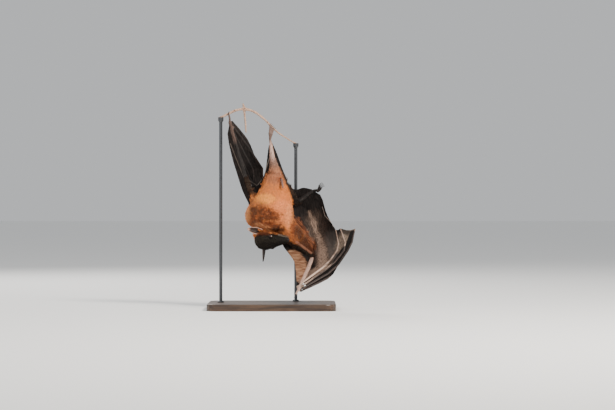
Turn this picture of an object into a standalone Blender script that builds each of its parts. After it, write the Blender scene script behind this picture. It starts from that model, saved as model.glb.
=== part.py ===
"""Male Indian flying fox hanging head down from a cut twig, life size, on a display stand.

Metres, +Z up. The origin is the middle of the base's underside. The belly faces -Y, so the
bat's own left is towards -X. Flesh is built out to the tips of the coat, as one body that thin
cuts part into trunk, neck, arms and legs; wing skins, fingers, ears, eyes and claws are solids
of their own, each a hair's breadth clear of its neighbours.
"""

import math

import bmesh
import bpy
import numpy as np
from mathutils import Matrix, Vector

MM = 0.001
GAP = 0.3 * MM

# --- Bones of the animal, in millimetres ---
HUMERUS = 118
FOREARM = 168
METACARPAL = 116
PHALANGES = {"2": (22, 12), "3": (80, 96), "4": (65, 60), "5": (54, 52)}
EAR_LENGTH = 35
EAR_HALF_WIDTH = 9.4
EYE_RADIUS = 6.0
CLAW_RADIUS = 1.3

# --- Joints of the pose, in millimetres from the origin ---
LEFT_HIP = (19, 6, 322)
LEFT_KNEE = (6, 0, 381)
LEFT_ANKLE = (-4.6, 0, 455)
RIGHT_HIP = (35, 8, 321)
RIGHT_KNEE = (58, 27, 282)
RIGHT_ANKLE = (113, 6, 320)
LEFT_SHOULDER = (-32, 5, 243)
RIGHT_SHOULDER = (30, 2, 224)
HEAD_CENTRE = (-21, -30, 184.5)
HEAD_FORWARD = (0.97, -0.20, 0.03)
HEAD_CROWN = (0.0, -0.87, -0.50)

# --- Wing skins ---
SKIN = 0.7
FINGER_RADIUS = 2.2
FINGER_TIP_RADIUS = 0.9
FINGER_SPACING = 6.2

# --- Perch and stand, in millimetres ---
TWIG_RADIUS = 3.8
TWIG_END_RADIUS = 2.6
BASE_SIZE = (344, 236, 18)
BASE_CORNER = 26
BASE_BEVEL = 2.5
ROD_RADIUS = 4.5
SADDLE_RADIUS = 7.5
SADDLE_DROP = 14

# --- Mesh fineness ---
FLESH_VOXEL = 3.0
FOOT_VOXEL = 1.3
FLESH_FACES = 1250
FOOT_FACES = 230
PERCH_FACES = 270

COAT = (0.48, 0.19, 0.08, 1.0)
DARK_COAT = (0.030, 0.020, 0.015, 1.0)
WING_SKIN = (0.045, 0.036, 0.033, 1.0)
BARE_SKIN = (0.45, 0.29, 0.22, 1.0)
FINGER_SKIN = (0.30, 0.21, 0.17, 1.0)
HORN = (0.020, 0.017, 0.016, 1.0)
EYE_BROWN = (0.045, 0.016, 0.008, 1.0)
BARK = (0.36, 0.22, 0.16, 1.0)
STAND_WOOD = (0.035, 0.030, 0.028, 1.0)
STAND_STEEL = (0.10, 0.10, 0.11, 1.0)


def clear_scene():
    for obj in list(bpy.data.objects):
        bpy.data.objects.remove(obj, do_unlink=True)


# --- Points and curves ---


def vec(point):
    return np.array(point, dtype=float)


def unit(direction):
    direction = vec(direction)
    return direction / np.linalg.norm(direction)


def reach(start, length, direction):
    """The far end of a bone of this length that points in this direction."""
    return vec(start) + unit(direction) * length


def smooth(rows, steps):
    """A Catmull-Rom curve through the rows, with this many steps from each row to the next."""
    rows = np.array(rows, dtype=float)
    padded = np.vstack([2 * rows[0] - rows[1], rows, 2 * rows[-1] - rows[-2]])
    out = []
    for i in range(len(rows) - 1):
        a, b, c, d = padded[i : i + 4]
        for k in range(steps):
            t = k / steps
            out.append(
                0.5 * (2 * b + (c - a) * t + (2 * a - 5 * b + 4 * c - d) * t**2 + (3 * b - a - 3 * c + d) * t**3)
            )
    out.append(rows[-1])
    return np.array(out)


def evenly(curve, count):
    """The same curve with its points an equal distance apart."""
    steps = np.linalg.norm(np.diff(curve[:, :3], axis=0), axis=1)
    along = np.concatenate([[0], np.cumsum(steps)])
    wanted = np.linspace(0, along[-1], count)
    return np.stack([np.interp(wanted, along, curve[:, k]) for k in range(curve.shape[1])], axis=1)


def along(curve, count):
    return evenly(smooth(curve, 8), count)


# --- Meshes ---


def add_object(name, bm):
    """An object from a closed mesh, with its faces turned outward."""
    if bm.calc_volume(signed=True) < 0:
        bmesh.ops.reverse_faces(bm, faces=bm.faces)
    mesh = bpy.data.meshes.new(name)
    bm.to_mesh(mesh)
    bm.free()
    obj = bpy.data.objects.new(name, mesh)
    bpy.context.scene.collection.objects.link(obj)
    return obj


def sweep(bm, stations, across=(1, 0, 0), sides=16):
    """A closed tube. A station is x, y, z, half width and half depth, in millimetres."""
    stations = np.array(stations, dtype=float)
    centres = stations[:, :3]
    tangents = np.gradient(centres, axis=0)
    rings = []
    for row, tangent in zip(stations, tangents):
        tangent = unit(tangent)
        wide = unit(vec(across) - np.dot(across, tangent) * tangent)
        deep = np.cross(tangent, wide)
        ring = []
        for k in range(sides):
            turn = 2 * math.pi * k / sides
            point = row[:3] + wide * row[3] * math.cos(turn) + deep * row[4] * math.sin(turn)
            ring.append(bm.verts.new(point * MM))
        rings.append(ring)
    for low, high in zip(rings, rings[1:]):
        for k in range(sides):
            j = (k + 1) % sides
            bm.faces.new((low[k], low[j], high[j], high[k]))
    bm.faces.new(list(reversed(rings[0])))
    bm.faces.new(rings[-1])
    bmesh.ops.recalc_face_normals(bm, faces=bm.faces)


def round_stations(curve, radii):
    """Stations of a round tube whose radius follows the list of radii along its length."""
    spots = np.linspace(0, 1, len(radii))
    r = np.interp(np.linspace(0, 1, len(curve)), spots, radii)
    return np.column_stack([curve, r, r])


def sheet(name, grid, thickness):
    """A thin closed solid, half its thickness to each side of a grid of points."""
    grid = np.array(grid, dtype=float)
    rows, columns = grid.shape[:2]
    normal = np.cross(np.gradient(grid, axis=0), np.gradient(grid, axis=1))
    normal /= np.linalg.norm(normal, axis=2, keepdims=True) + 1e-12
    bm = bmesh.new()
    sides = []
    for sign in (1, -1):
        points = (grid + normal * sign * thickness / 2) * MM
        sides.append([[bm.verts.new(points[i, j]) for j in range(columns)] for i in range(rows)])
    top, bottom = sides
    for i in range(rows - 1):
        for j in range(columns - 1):
            bm.faces.new((top[i][j], top[i + 1][j], top[i + 1][j + 1], top[i][j + 1]))
            bm.faces.new((bottom[i][j], bottom[i][j + 1], bottom[i + 1][j + 1], bottom[i + 1][j]))
    rim = [(i, 0) for i in range(rows)] + [(rows - 1, j) for j in range(1, columns)]
    rim += [(i, columns - 1) for i in range(rows - 2, -1, -1)] + [(0, j) for j in range(columns - 2, 0, -1)]
    for (i, j), (k, m) in zip(rim, rim[1:] + rim[:1]):
        bm.faces.new((top[i][j], top[k][m], bottom[k][m], bottom[i][j]))
    bmesh.ops.recalc_face_normals(bm, faces=bm.faces)
    return add_object(name, bm)


def apply_modifiers(obj):
    graph = bpy.context.evaluated_depsgraph_get()
    mesh = bpy.data.meshes.new_from_object(obj.evaluated_get(graph))
    obj.modifiers.clear()
    obj.data = mesh


def melt_together(obj, voxel, rounds, faces):
    """Joins crossing tubes into one smooth skin, and thins it to about this many triangles."""
    remesh = obj.modifiers.new("one skin", "REMESH")
    remesh.mode = "VOXEL"
    remesh.voxel_size = voxel * MM
    relax = obj.modifiers.new("relax", "SMOOTH")
    relax.factor = 0.5
    relax.iterations = rounds
    apply_modifiers(obj)
    triangles = sum(len(p.vertices) - 2 for p in obj.data.polygons)
    thin = obj.modifiers.new("thin", "DECIMATE")
    thin.ratio = min(1.0, faces / triangles)
    apply_modifiers(obj)


def swollen(obj, distance=GAP * 1.35):
    """A cutter: the object's own shape, grown by a little along its normals."""
    cutter = obj.copy()
    cutter.data = obj.data.copy()
    bpy.context.scene.collection.objects.link(cutter)
    bm = bmesh.new()
    bm.from_mesh(cutter.data)
    bm.normal_update()
    moves = [v.normal * distance for v in bm.verts]
    for v, move in zip(bm.verts, moves):
        v.co += move
    bm.to_mesh(cutter.data)
    bm.free()
    return cutter


def take_away(obj, cutter, keep_cutter=False):
    cut = obj.modifiers.new("cut", "BOOLEAN")
    cut.operation = "DIFFERENCE"
    cut.solver = "EXACT"
    cut.object = cutter
    apply_modifiers(obj)
    if not keep_cutter:
        bpy.data.objects.remove(cutter, do_unlink=True)


def bodies_of(obj):
    """The separate closed bodies in a mesh, each as its own bmesh, largest first."""
    source = bmesh.new()
    source.from_mesh(obj.data)
    seen = set()
    groups = []
    for start in source.faces:
        if start in seen:
            continue
        seen.add(start)
        group = set()
        open_ends = [start]
        while open_ends:
            face = open_ends.pop()
            group.add(face.index)
            for edge in (e for e in face.edges if len(e.link_faces) == 2):
                for other in edge.link_faces:
                    if other not in seen:
                        seen.add(other)
                        open_ends.append(other)
        groups.append(group)
    out = []
    for group in groups:
        piece = source.copy()
        bmesh.ops.delete(piece, geom=[f for f in piece.faces if f.index not in group], context="FACES")
        out.append(piece)
    source.free()
    out.sort(key=lambda b: -abs(b.calc_volume()))
    return out


def keep_largest(obj):
    pieces = bodies_of(obj)
    pieces[0].to_mesh(obj.data)
    for piece in pieces:
        piece.free()


def split_faces(mesh):
    """Triangles instead of many-sided faces, in a way that leaves every edge its two faces."""
    for method in ("BEAUTY", "EAR_CLIP"):
        bm = bmesh.new()
        bm.from_mesh(mesh)
        bmesh.ops.triangulate(bm, faces=bm.faces, ngon_method=method)
        torn = any(not edge.is_manifold for edge in bm.edges)
        if not torn:
            bm.to_mesh(mesh)
        bm.free()
        if not torn:
            return


def finish(obj, colour, roughness=0.6, metallic=0.0, crease=60):
    """A material from the part's own colour, and smooth shading up to this crease."""
    material = bpy.data.materials.new(obj.name)
    material.use_nodes = True
    shader = material.node_tree.nodes["Principled BSDF"]
    shader.inputs["Base Color"].default_value = colour
    shader.inputs["Roughness"].default_value = roughness
    shader.inputs["Metallic"].default_value = metallic
    obj.data.materials.clear()
    obj.data.materials.append(material)
    split_faces(obj.data)
    obj.data.shade_smooth()
    obj.data.set_sharp_from_angle(angle=math.radians(crease))
    return obj


# --- The pose, worked out bone by bone ---

LEFT_ELBOW = reach(LEFT_SHOULDER, HUMERUS, (-41, 35, 105))
LEFT_WRIST = reach(LEFT_ELBOW, FOREARM, (-39, -52, 151))
RIGHT_ELBOW = reach(RIGHT_SHOULDER, HUMERUS, (83, -2, -84))
RIGHT_WRIST = reach(RIGHT_ELBOW, FOREARM, (-40, -142, -81))

# Directions of metacarpal, first and second phalanx of each finger.
LEFT_HAND = {
    "5": ((39, 53, -101), (11, 42, -26), (16, -19, -34)),
    "4": ((45, 62, -91), (19, 42, -36), (-6, -22, -37)),
    "3": ((57, 72, -81), (31, 35, -47), (-28, -7, -71)),
    "2": ((60, 79, -73), (30, 38, -40), (22, 24, -42)),
}
RIGHT_HAND = {
    "5": ((82, 50, 61), (36, 24, 50), (-10, 22, 51)),
    "4": ((86, 45, 57), (43, 13, 54), (-16, 32, 50)),
    "3": ((97, 43, 54), (38, 20, 54), (10, 72, 38)),
    "2": ((99, 36, 46), (90, 36, 46), (84, 44, 54)),
}
LEFT_FAN = unit((0.62, 0.62, 0.48))
RIGHT_FAN = unit((0.55, -0.62, -0.56))


def finger_joints(wrist, fan, hand, digit):
    """Base, knuckle, middle joint and tip of one finger; the bases stand side by side."""
    base = wrist + fan * FINGER_SPACING * (3.5 - int(digit))
    metacarpal = METACARPAL * (0.52 if digit == "2" else 1.0)
    knuckle = reach(base, metacarpal, hand[digit][0])
    middle = reach(knuckle, PHALANGES[digit][0], hand[digit][1])
    tip = reach(middle, PHALANGES[digit][1], hand[digit][2])
    return [base, knuckle, middle, tip]


LEFT_FINGERS = {d: finger_joints(LEFT_WRIST, LEFT_FAN, LEFT_HAND, d) for d in "2345"}
RIGHT_FINGERS = {d: finger_joints(RIGHT_WRIST, RIGHT_FAN, RIGHT_HAND, d) for d in "2345"}

# --- Flesh out to the coat's tips: x, y, z, half width, half depth ---

TRUNK = [
    (10, 8, 368, 15, 13),
    (9, 6, 351, 28, 23),
    (9, 3, 326, 40, 31),
    (5, 0, 296, 50, 37),
    (-1, -1, 268, 61, 41),
    (-5, -2, 249, 66, 42),
    (-7, -3, 231, 60, 39),
    (-8, -4, 218, 46, 32),
    (-8, -5, 212, 24, 20),
]
NECK = [(-8, 0, 232, 34, 32), (-17, -4, 213, 31, 28), (-27, -13, 199, 25, 23), (-33, -22, 190, 18, 18)]
LEFT_LEG = [
    (*LEFT_HIP, 20, 20),
    (13, 3, 354, 17, 16),
    (*LEFT_KNEE, 13, 13),
    (2.5, 0, 402, 8.4, 8),
    (-1.2, 0, 428, 5.6, 5.4),
    (*LEFT_ANKLE, 4.2, 4),
    (-5, -1, 460, 4.2, 4),
]
RIGHT_LEG = [
    (*RIGHT_HIP, 20, 20),
    (48, 18, 297, 17, 16),
    (*RIGHT_KNEE, 12, 12),
    (73, 21, 291.5, 8.4, 8.4),
    (95, 13, 307.5, 5.6, 5.6),
    (*RIGHT_ANKLE, 4.4, 4.4),
    (116, 4.5, 321.5, 4.2, 4.2),
]


def arm_stations(shoulder, elbow, wrist, bulk):
    """Upper arm and forearm as one bent limb; bulk scales the fur of the upper arm."""
    upper = [(0.0, 29 * bulk), (0.3, 23 * bulk), (0.62, 15.5 * bulk), (0.88, 9.5)]
    lower = [(0.06, 8.8), (0.3, 7.4), (0.65, 5.6), (0.95, 5.0), (1.0, 5.6), (1.035, 4.4)]
    rows = [(*(shoulder + (elbow - shoulder) * t), r, r) for t, r in upper]
    rows += [(*(elbow + (wrist - elbow) * t), r, r) for t, r in lower]
    return smooth(rows, 4)


def flesh():
    """Trunk, neck, arms and legs melted into one body."""
    bm = bmesh.new()
    sweep(bm, smooth(TRUNK, 3), sides=24)
    sweep(bm, smooth(NECK, 3), sides=20)
    sweep(bm, smooth(LEFT_LEG, 4))
    sweep(bm, smooth(RIGHT_LEG, 4), across=(0, 1, 0))
    sweep(bm, arm_stations(vec(LEFT_SHOULDER), LEFT_ELBOW, LEFT_WRIST, 0.78))
    sweep(bm, arm_stations(vec(RIGHT_SHOULDER), RIGHT_ELBOW, RIGHT_WRIST, 1.2), across=(0, 0, 1))
    obj = add_object("flesh", bm)
    melt_together(obj, FLESH_VOXEL, 4, FLESH_FACES)
    return obj


def disc(point, normal, radius):
    """A round blade, as thick as the gap that it leaves."""
    bm = bmesh.new()
    turn = Vector(normal).to_track_quat("Z", "Y").to_matrix().to_4x4()
    place = Matrix.Translation(Vector(point) * MM) @ turn
    bmesh.ops.create_cone(
        bm, cap_ends=True, segments=20, radius1=radius * MM, radius2=radius * MM, depth=GAP, matrix=place
    )
    return add_object("blade", bm)


def part_flesh(body):
    """Thin cuts across the neck, shoulders, elbows and hips; each piece is named by its place."""
    left_arm = LEFT_ELBOW - vec(LEFT_SHOULDER)
    right_arm = RIGHT_ELBOW - vec(RIGHT_SHOULDER)
    blades = [
        ((-22, -5, 205), (0.37, 0.2, 0.9), 44),
        (vec(LEFT_SHOULDER) + left_arm * 0.68, left_arm, 17),
        (vec(RIGHT_SHOULDER) + right_arm * 0.46, right_arm, 33),
        (LEFT_ELBOW + (LEFT_WRIST - LEFT_ELBOW) * 0.05, LEFT_WRIST - LEFT_ELBOW, 14),
        (RIGHT_ELBOW + (RIGHT_WRIST - RIGHT_ELBOW) * 0.06, RIGHT_WRIST - RIGHT_ELBOW, 14),
        ((7, 1, 374), (-0.15, -0.05, 1), 24),
        ((73, 21, 292), (0.8, -0.3, 0.56), 16),
    ]
    for point, normal, radius in blades:
        take_away(body, disc(point, normal, radius))
    places = {
        "trunk": (0, 0, 280),
        "neck": (-28, -15, 196),
        "left_upper_arm": vec(LEFT_SHOULDER) + left_arm * 0.85,
        "right_upper_arm": vec(RIGHT_SHOULDER) + right_arm * 0.75,
        "left_forearm": (LEFT_ELBOW + LEFT_WRIST) / 2,
        "right_forearm": (RIGHT_ELBOW + RIGHT_WRIST) / 2,
        "left_leg": (0, 0, 415),
        "right_leg": (92, 14, 306),
    }
    pieces = bodies_of(body)[: len(places)]
    assert len(pieces) == len(places), "a blade doesn't go right through its limb"
    middles = [sum((v.co for v in p.verts), Vector()) / len(p.verts) / MM for p in pieces]
    out = {}
    for name, place in places.items():
        nearest = min(range(len(pieces)), key=lambda k: (middles[k] - Vector(place)).length)
        out[name] = add_object(name, pieces[nearest].copy())
    for piece in pieces:
        piece.free()
    bpy.data.objects.remove(body, do_unlink=True)
    return out


# --- Head ---

FORWARD = unit(HEAD_FORWARD)
CROWN = unit(vec(HEAD_CROWN) - np.dot(HEAD_CROWN, FORWARD) * FORWARD)
LEFTWARD = np.cross(CROWN, FORWARD)


def on_head(forward, left, up):
    """A point of the head, from its own axes: to the nose, to its left and to its crown."""
    return vec(HEAD_CENTRE) + FORWARD * forward + LEFTWARD * left + CROWN * up


# Forward, rise of the centre line, half width, height of the crown side, depth of the jaw side.
HEAD_SECTIONS = [
    (-25, -2, 6, 6, 7),
    (-22, -1, 13, 11, 13),
    (-14, 0, 21.5, 18, 20.5),
    (-4, 0, 25.5, 21, 23),
    (7, 0, 25.8, 21.5, 22.5),
    (17, -0.5, 24, 20, 22),
    (26, -1.5, 21.5, 18, 20),
    (35, -2.5, 19, 15.8, 17.5),
    (44, -3, 16, 13.5, 15),
    (52, -3, 13, 11.3, 12.5),
    (59, -3, 10.2, 9.2, 10),
    (64, -3, 8, 7.4, 8.2),
    (68, -2.5, 5, 4.6, 5.2),
]


def head():
    """A fox-like head: a round braincase that narrows in front of the eyes to a long muzzle."""
    bm = bmesh.new()
    sides = 14
    rings = []
    for forward, rise, wide, high, deep in smooth(HEAD_SECTIONS, 1):
        ring = []
        for k in range(sides):
            turn = 2 * math.pi * k / sides
            up = math.sin(turn) * (high if math.sin(turn) > 0 else deep)
            ring.append(bm.verts.new(on_head(forward, wide * math.cos(turn), rise + up) * MM))
        rings.append(ring)
    for low, high_ring in zip(rings, rings[1:]):
        for k in range(sides):
            j = (k + 1) % sides
            bm.faces.new((low[k], low[j], high_ring[j], high_ring[k]))
    bm.faces.new(list(reversed(rings[0])))
    bm.faces.new(rings[-1])
    bmesh.ops.recalc_face_normals(bm, faces=bm.faces)
    return add_object("head", bm)


def ball(name, centre, radii, axes, segments=9, rings=6):
    bm = bmesh.new()
    bmesh.ops.create_uvsphere(bm, u_segments=segments, v_segments=rings, radius=1)
    for v in bm.verts:
        local = [c * r * MM for c, r in zip(v.co, radii)]
        v.co = Vector(vec(centre) * MM + axes[0] * local[0] + axes[1] * local[1] + axes[2] * local[2])
    bmesh.ops.recalc_face_normals(bm, faces=bm.faces)
    return add_object(name, bm)


def ear(name, root, tip, opening):
    """A cupped leaf: narrow and deeply rolled at its root, widest below the middle, round-tipped."""
    lengthwise = unit(tip - root)
    faces = unit(vec(opening) - np.dot(opening, lengthwise) * lengthwise)
    sideways = np.cross(faces, lengthwise)
    rows = []
    for v in np.linspace(-0.12, 1, 6):
        half = EAR_HALF_WIDTH * max(0.12, math.sin(math.pi * min(0.97, 0.24 + 0.70 * max(v, 0)) ) ** 0.8)
        cup = 8.5 * (1 - 0.75 * max(v, 0))
        rows.append(
            [
                root
                + lengthwise * EAR_LENGTH * (v - 0.05 * u * u)
                + sideways * half * u
                - faces * cup * (1 - u * u)
                for u in np.linspace(-1, 1, 6)
            ]
        )
    return sheet(name, rows, 1.3)


# --- Wings ---


def finger_curve(joints):
    """The bent line through one finger's joints, a little rounded at each of them."""
    rows = [joints[0]]
    for start, end in zip(joints, joints[1:]):
        rows += [start + (end - start) * 0.2, start + (end - start) * 0.8]
    rows.append(joints[-1])
    return np.array(rows)


def finger(name, joints, base_radius=FINGER_RADIUS):
    """A tube through the joints of one finger, thinning to its tip and thicker at the knuckles."""
    curve = finger_curve(joints)
    share = np.linspace(0, 1, len(curve))
    radii = base_radius + (FINGER_TIP_RADIUS - base_radius) * share
    radii[2:6] *= 1.12
    bm = bmesh.new()
    sweep(bm, np.column_stack([curve, radii, radii]), across=(0.3, 0.9, 0.3), sides=6)
    return add_object(name, bm)


def finger_line(joints, count, start=0.0):
    """Evenly spaced points down one finger, from this share of its length to its tip."""
    dense = evenly(finger_curve(joints), 200)
    return evenly(dense[int(200 * start) :], count)


def finger_rows(joints):
    """The bends of one finger's curve, with one more row half way down the hand bone."""
    curve = finger_curve(joints)
    return np.array([curve[1], (curve[1] + curve[2]) / 2, *curve[2:]])


def web(name, first, second, sag, across=4, dip=6.0):
    """Skin between two fingers, slack between them and drawn in between their tips."""
    a = finger_rows(first)
    b = finger_rows(second)
    count = len(a)
    rows = []
    for k in range(count):
        share = k / (count - 1)
        side = unit(b[k] - a[k])
        margin = FINGER_RADIUS * 1.12 + 0.5 - share * 1.4
        room = np.linalg.norm(b[k] - a[k]) - 2 * margin
        inward = unit(a[max(k - 1, 0)] - a[min(k + 1, count - 1)])
        row = []
        for u in np.linspace(0, 1, across):
            bow = 4 * u * (1 - u)
            slack = min(1.0, room / 30)
            point = a[k] + side * (margin + room * u) + vec(sag) * bow * slack * math.sin(math.pi * share)
            row.append(point + inward * bow * dip * slack * share**3)
        if room > 1.5:
            rows.append(row)
    return sheet(name, rows, SKIN)


def coons(front, trailing, inner, outer):
    """A skin stretched in a frame of four curves that meet at their ends."""
    rows, columns = len(inner), len(front)
    grid = np.zeros((rows, columns, 3))
    for i in range(rows):
        s = i / (rows - 1)
        for j in range(columns):
            t = j / (columns - 1)
            ruled = (1 - s) * front[j] + s * trailing[j] + (1 - t) * inner[i] + t * outer[i]
            corner = (1 - s) * ((1 - t) * front[0] + t * front[-1]) + s * ((1 - t) * trailing[0] + t * trailing[-1])
            grid[i, j] = ruled - corner
    return grid


def boxes_meet(one, other, margin=1.0 * MM):
    corners = [[Vector(c) for c in obj.bound_box] for obj in (one, other)]
    for axis in range(3):
        spans = [(min(c[axis] for c in box), max(c[axis] for c in box)) for box in corners]
        if spans[0][0] > spans[1][1] + margin or spans[1][0] > spans[0][1] + margin:
            return False
    return True


def sound_volume(mesh):
    """The volume inside a mesh, or nothing if one of its edges is torn."""
    bm = bmesh.new()
    bm.from_mesh(mesh)
    volume = bm.calc_volume() if all(edge.is_manifold for edge in bm.edges) else 0.0
    bm.free()
    return volume


def clear_of(obj, others):
    """Cuts an object back from its neighbours; a cut that goes wrong is made again, wider."""
    for other in others:
        if not boxes_meet(obj, other):
            continue
        before = obj.data.copy()
        for width in (1.35, 1.45, 1.6, 1.8, 2.0):
            obj.data = before.copy()
            take_away(obj, swollen(other, GAP * width))
            if sound_volume(obj.data) > 0.35 * sound_volume(before):
                break
    keep_largest(obj)
    return obj


def side_skin(name, arm, fingers, inner, trailing):
    """The main wing skin: from the body's side and the leg to the arm and the fifth finger."""
    outer_line = finger_rows(fingers["5"])
    toward = unit(vec(trailing[-2]) - fingers["5"][3])
    outer_line = outer_line + toward * (FINGER_RADIUS * 1.3 + 0.8)
    front = along(np.array(arm), 9)
    front[-1] = outer_line[0]
    hem = along(np.array(list(trailing[:-1]) + [outer_line[-1]]), 9)
    inner_line = along(np.array(inner), 8)
    inner_line[0], inner_line[-1] = front[0], hem[0]
    return sheet(name, coons(front, hem, inner_line, outer_line), SKIN)


def strip(name, first, second, count=10, across=3):
    """Skin between two curves."""
    a = along(np.array(first), count)
    b = along(np.array(second), count)
    rows = [[a[k] + (b[k] - a[k]) * u for u in np.linspace(0, 1, across)] for k in range(count)]
    return sheet(name, rows, SKIN)


# --- Feet, thumbs and claws ---


def claw(name, curve, radius=CLAW_RADIUS):
    """A tapering horn along a curve, a little flattened from side to side."""
    curve = evenly(np.array(curve), 5)
    radii = radius * np.sqrt(np.linspace(1, 0.06, len(curve)))
    bm = bmesh.new()
    sweep(bm, np.column_stack([curve, radii * 0.8, radii]), across=(0.71, 0.1, -0.7), sides=5)
    return add_object(name, bm)


def hook(centre, start, over, radius, turn, count=8):
    """Points of an arc that starts on one side of its centre and passes over it."""
    start, over = unit(start), unit(over)
    over = unit(over - np.dot(over, start) * start)
    angles = np.linspace(0, math.radians(turn), count)
    return np.array([centre + radius * (start * math.cos(a) + over * math.sin(a)) for a in angles])


def foot(name, ankle, ball_of_foot, toe_ends, width_axis):
    """A short sole that spreads into five toes."""
    bm = bmesh.new()
    sole = smooth([(*ankle, 3.6, 3.4), (*((ankle + ball_of_foot) / 2), 4.6, 3.0), (*ball_of_foot, 7.2, 2.6)], 3)
    sweep(bm, sole, across=width_axis, sides=12)
    for k, end in enumerate(toe_ends):
        root = ball_of_foot + unit(width_axis) * (k - 2) * 2.4 - (ball_of_foot - ankle) * 0.12
        middle = (root + end) / 2 + unit(ball_of_foot - ankle) * 0.8
        curve = smooth([root, middle, end], 3)
        sweep(bm, round_stations(curve, (2.0, 1.9, 1.8)), across=width_axis, sides=8)
    obj = add_object(name, bm)
    melt_together(obj, FOOT_VOXEL, 2, FOOT_FACES)
    return obj


# --- Perch and stand ---

TWIG = [
    (-146, 0, 513, TWIG_RADIUS),
    (-122, 0, 525, TWIG_RADIUS),
    (-103, 0, 534.5, TWIG_RADIUS),
    (-81, 0, 540, TWIG_RADIUS),
    (-51, 0, 534.5, TWIG_RADIUS),
    (-24, 0, 515.5, 3.5),
    (-5, 1, 497, 3.2),
    (11, 5, 481, 2.9),
    (33, 24, 466, 2.7),
    (52, 50, 455, TWIG_END_RADIUS),
    (72, 78, 445, TWIG_END_RADIUS),
]
CROSS_TWIG = [(-78, 2, 557, 3.4), (-75.5, 3, 541, 3.4), (-72, 4, 508, 3.0), (-70, 6, 474, 2.6)]


def twig_point(x):
    curve = smooth([row[:3] for row in TWIG], 12)
    nearest = int(np.argmin(np.abs(curve[:, 0] - x)))
    return curve[nearest], unit(curve[nearest + 1] - curve[nearest - 1])


def perch():
    bm = bmesh.new()
    for rows in (TWIG, CROSS_TWIG):
        curve = smooth(rows, 4)
        sweep(bm, np.column_stack([curve, curve[:, 3]]), across=(0, 1, 0), sides=10)
    obj = add_object("perch_twig", bm)
    melt_together(obj, 1.5, 1, PERCH_FACES)
    return obj


def stand_base():
    """A flat board with round corners, its top edge eased."""
    bm = bmesh.new()
    wide, deep, high = BASE_SIZE
    ring = []
    for corner, (sx, sy) in enumerate(((1, 1), (-1, 1), (-1, -1), (1, -1))):
        cx = sx * (wide / 2 - BASE_CORNER)
        cy = sy * (deep / 2 - BASE_CORNER)
        for k in range(5):
            turn = math.pi / 2 * (corner + k / 4)
            x = (cx + BASE_CORNER * math.cos(turn)) * MM
            y = (cy + BASE_CORNER * math.sin(turn)) * MM
            ring.append(bm.verts.new((x, y, 0)))
    floor = bm.faces.new(ring)
    raised = bmesh.ops.extrude_face_region(bm, geom=[floor])["geom"]
    top = [v for v in raised if isinstance(v, bmesh.types.BMVert)]
    bmesh.ops.translate(bm, verts=top, vec=(0, 0, high * MM))
    rim = [e for e in bm.edges if all(v in top for v in e.verts)]
    bmesh.ops.bevel(bm, geom=rim, offset=BASE_BEVEL * MM, segments=2, affect="EDGES", profile=0.5)
    bmesh.ops.recalc_face_normals(bm, faces=bm.faces)
    return add_object("stand_base", bm)


def stand_rod(name, x, y, top):
    """A turned steel rod: a foot ring, a plain stem and a saddle that cups the twig."""
    foot_height = BASE_SIZE[2] + GAP / MM
    profile = [
        (9, foot_height),
        (9, foot_height + 3),
        (ROD_RADIUS, foot_height + 5),
        (ROD_RADIUS, top - SADDLE_DROP),
        (SADDLE_RADIUS, top - SADDLE_DROP * 0.6),
        (SADDLE_RADIUS, top),
    ]
    bm = bmesh.new()
    sides = 11
    rings = []
    for r, z in profile:
        ring = []
        for k in range(sides):
            turn = 2 * math.pi * k / sides
            ring.append(bm.verts.new(((x + r * math.cos(turn)) * MM, (y + r * math.sin(turn)) * MM, z * MM)))
        rings.append(ring)
    for low, high in zip(rings, rings[1:]):
        for k in range(sides):
            j = (k + 1) % sides
            bm.faces.new((low[k], low[j], high[j], high[k]))
    bm.faces.new(list(reversed(rings[0])))
    bm.faces.new(rings[-1])
    bmesh.ops.recalc_face_normals(bm, faces=bm.faces)
    return add_object(name, bm)


# --- Assembly ---


def build_head():
    skull = head()
    axes = (FORWARD, LEFTWARD, CROWN)
    eyes = []
    for name, side in (("left_eye", 1), ("right_eye", -1)):
        eyes.append(ball(name, on_head(22.5, 16.6 * side, 6.2), (EYE_RADIUS,) * 3, axes))
    nose = ball("nose", on_head(66.8, 0, -0.8), (4.2, 5.6, 3.8), axes)
    left_ear = ear("left_ear", on_head(-7.5, 27, -5), on_head(-40, 36, -5), (0.25, -0.95, 0.1))
    right_ear = ear("right_ear", on_head(3, -21, 9), on_head(-4.5, -52, 20), (0.95, -0.05, -0.2))
    for piece in eyes + [nose]:
        take_away(skull, swollen(piece))
    keep_largest(skull)
    for piece in (left_ear, right_ear):
        clear_of(piece, [skull])
        finish(piece, DARK_COAT)
    for piece in eyes:
        finish(piece, EYE_BROWN, 0.08)
    finish(nose, HORN, 0.4)
    finish(skull, DARK_COAT)
    return skull


def build_foot_left():
    """The supporting foot: toes up the front of the twig, claws over its top and down behind."""
    centre, lengthwise = twig_point(0)
    toes = []
    for k in range(5):
        middle = centre + lengthwise * (k - 2) * 4.2
        toes.append(middle + vec((0, -1, 0)) * (3.2 + 2.6) - unit((0.7, 0, 0.7)) * 1.5)
    ball_of_foot = vec((-3.4, -6.5, 474))
    piece = foot("left_foot", vec((-5, -1, 458.5)), ball_of_foot, toes, lengthwise)
    claws = []
    for k, end in enumerate(toes):
        middle = centre + lengthwise * (k - 2) * 4.2
        arc = hook(middle, (0, -1, -0.05), (0.7, 0, 0.7), 3.2 + 0.6 + CLAW_RADIUS, 190)
        claws.append(claw(f"left_toe_claw_{k + 1}", arc))
    return piece, claws


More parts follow.
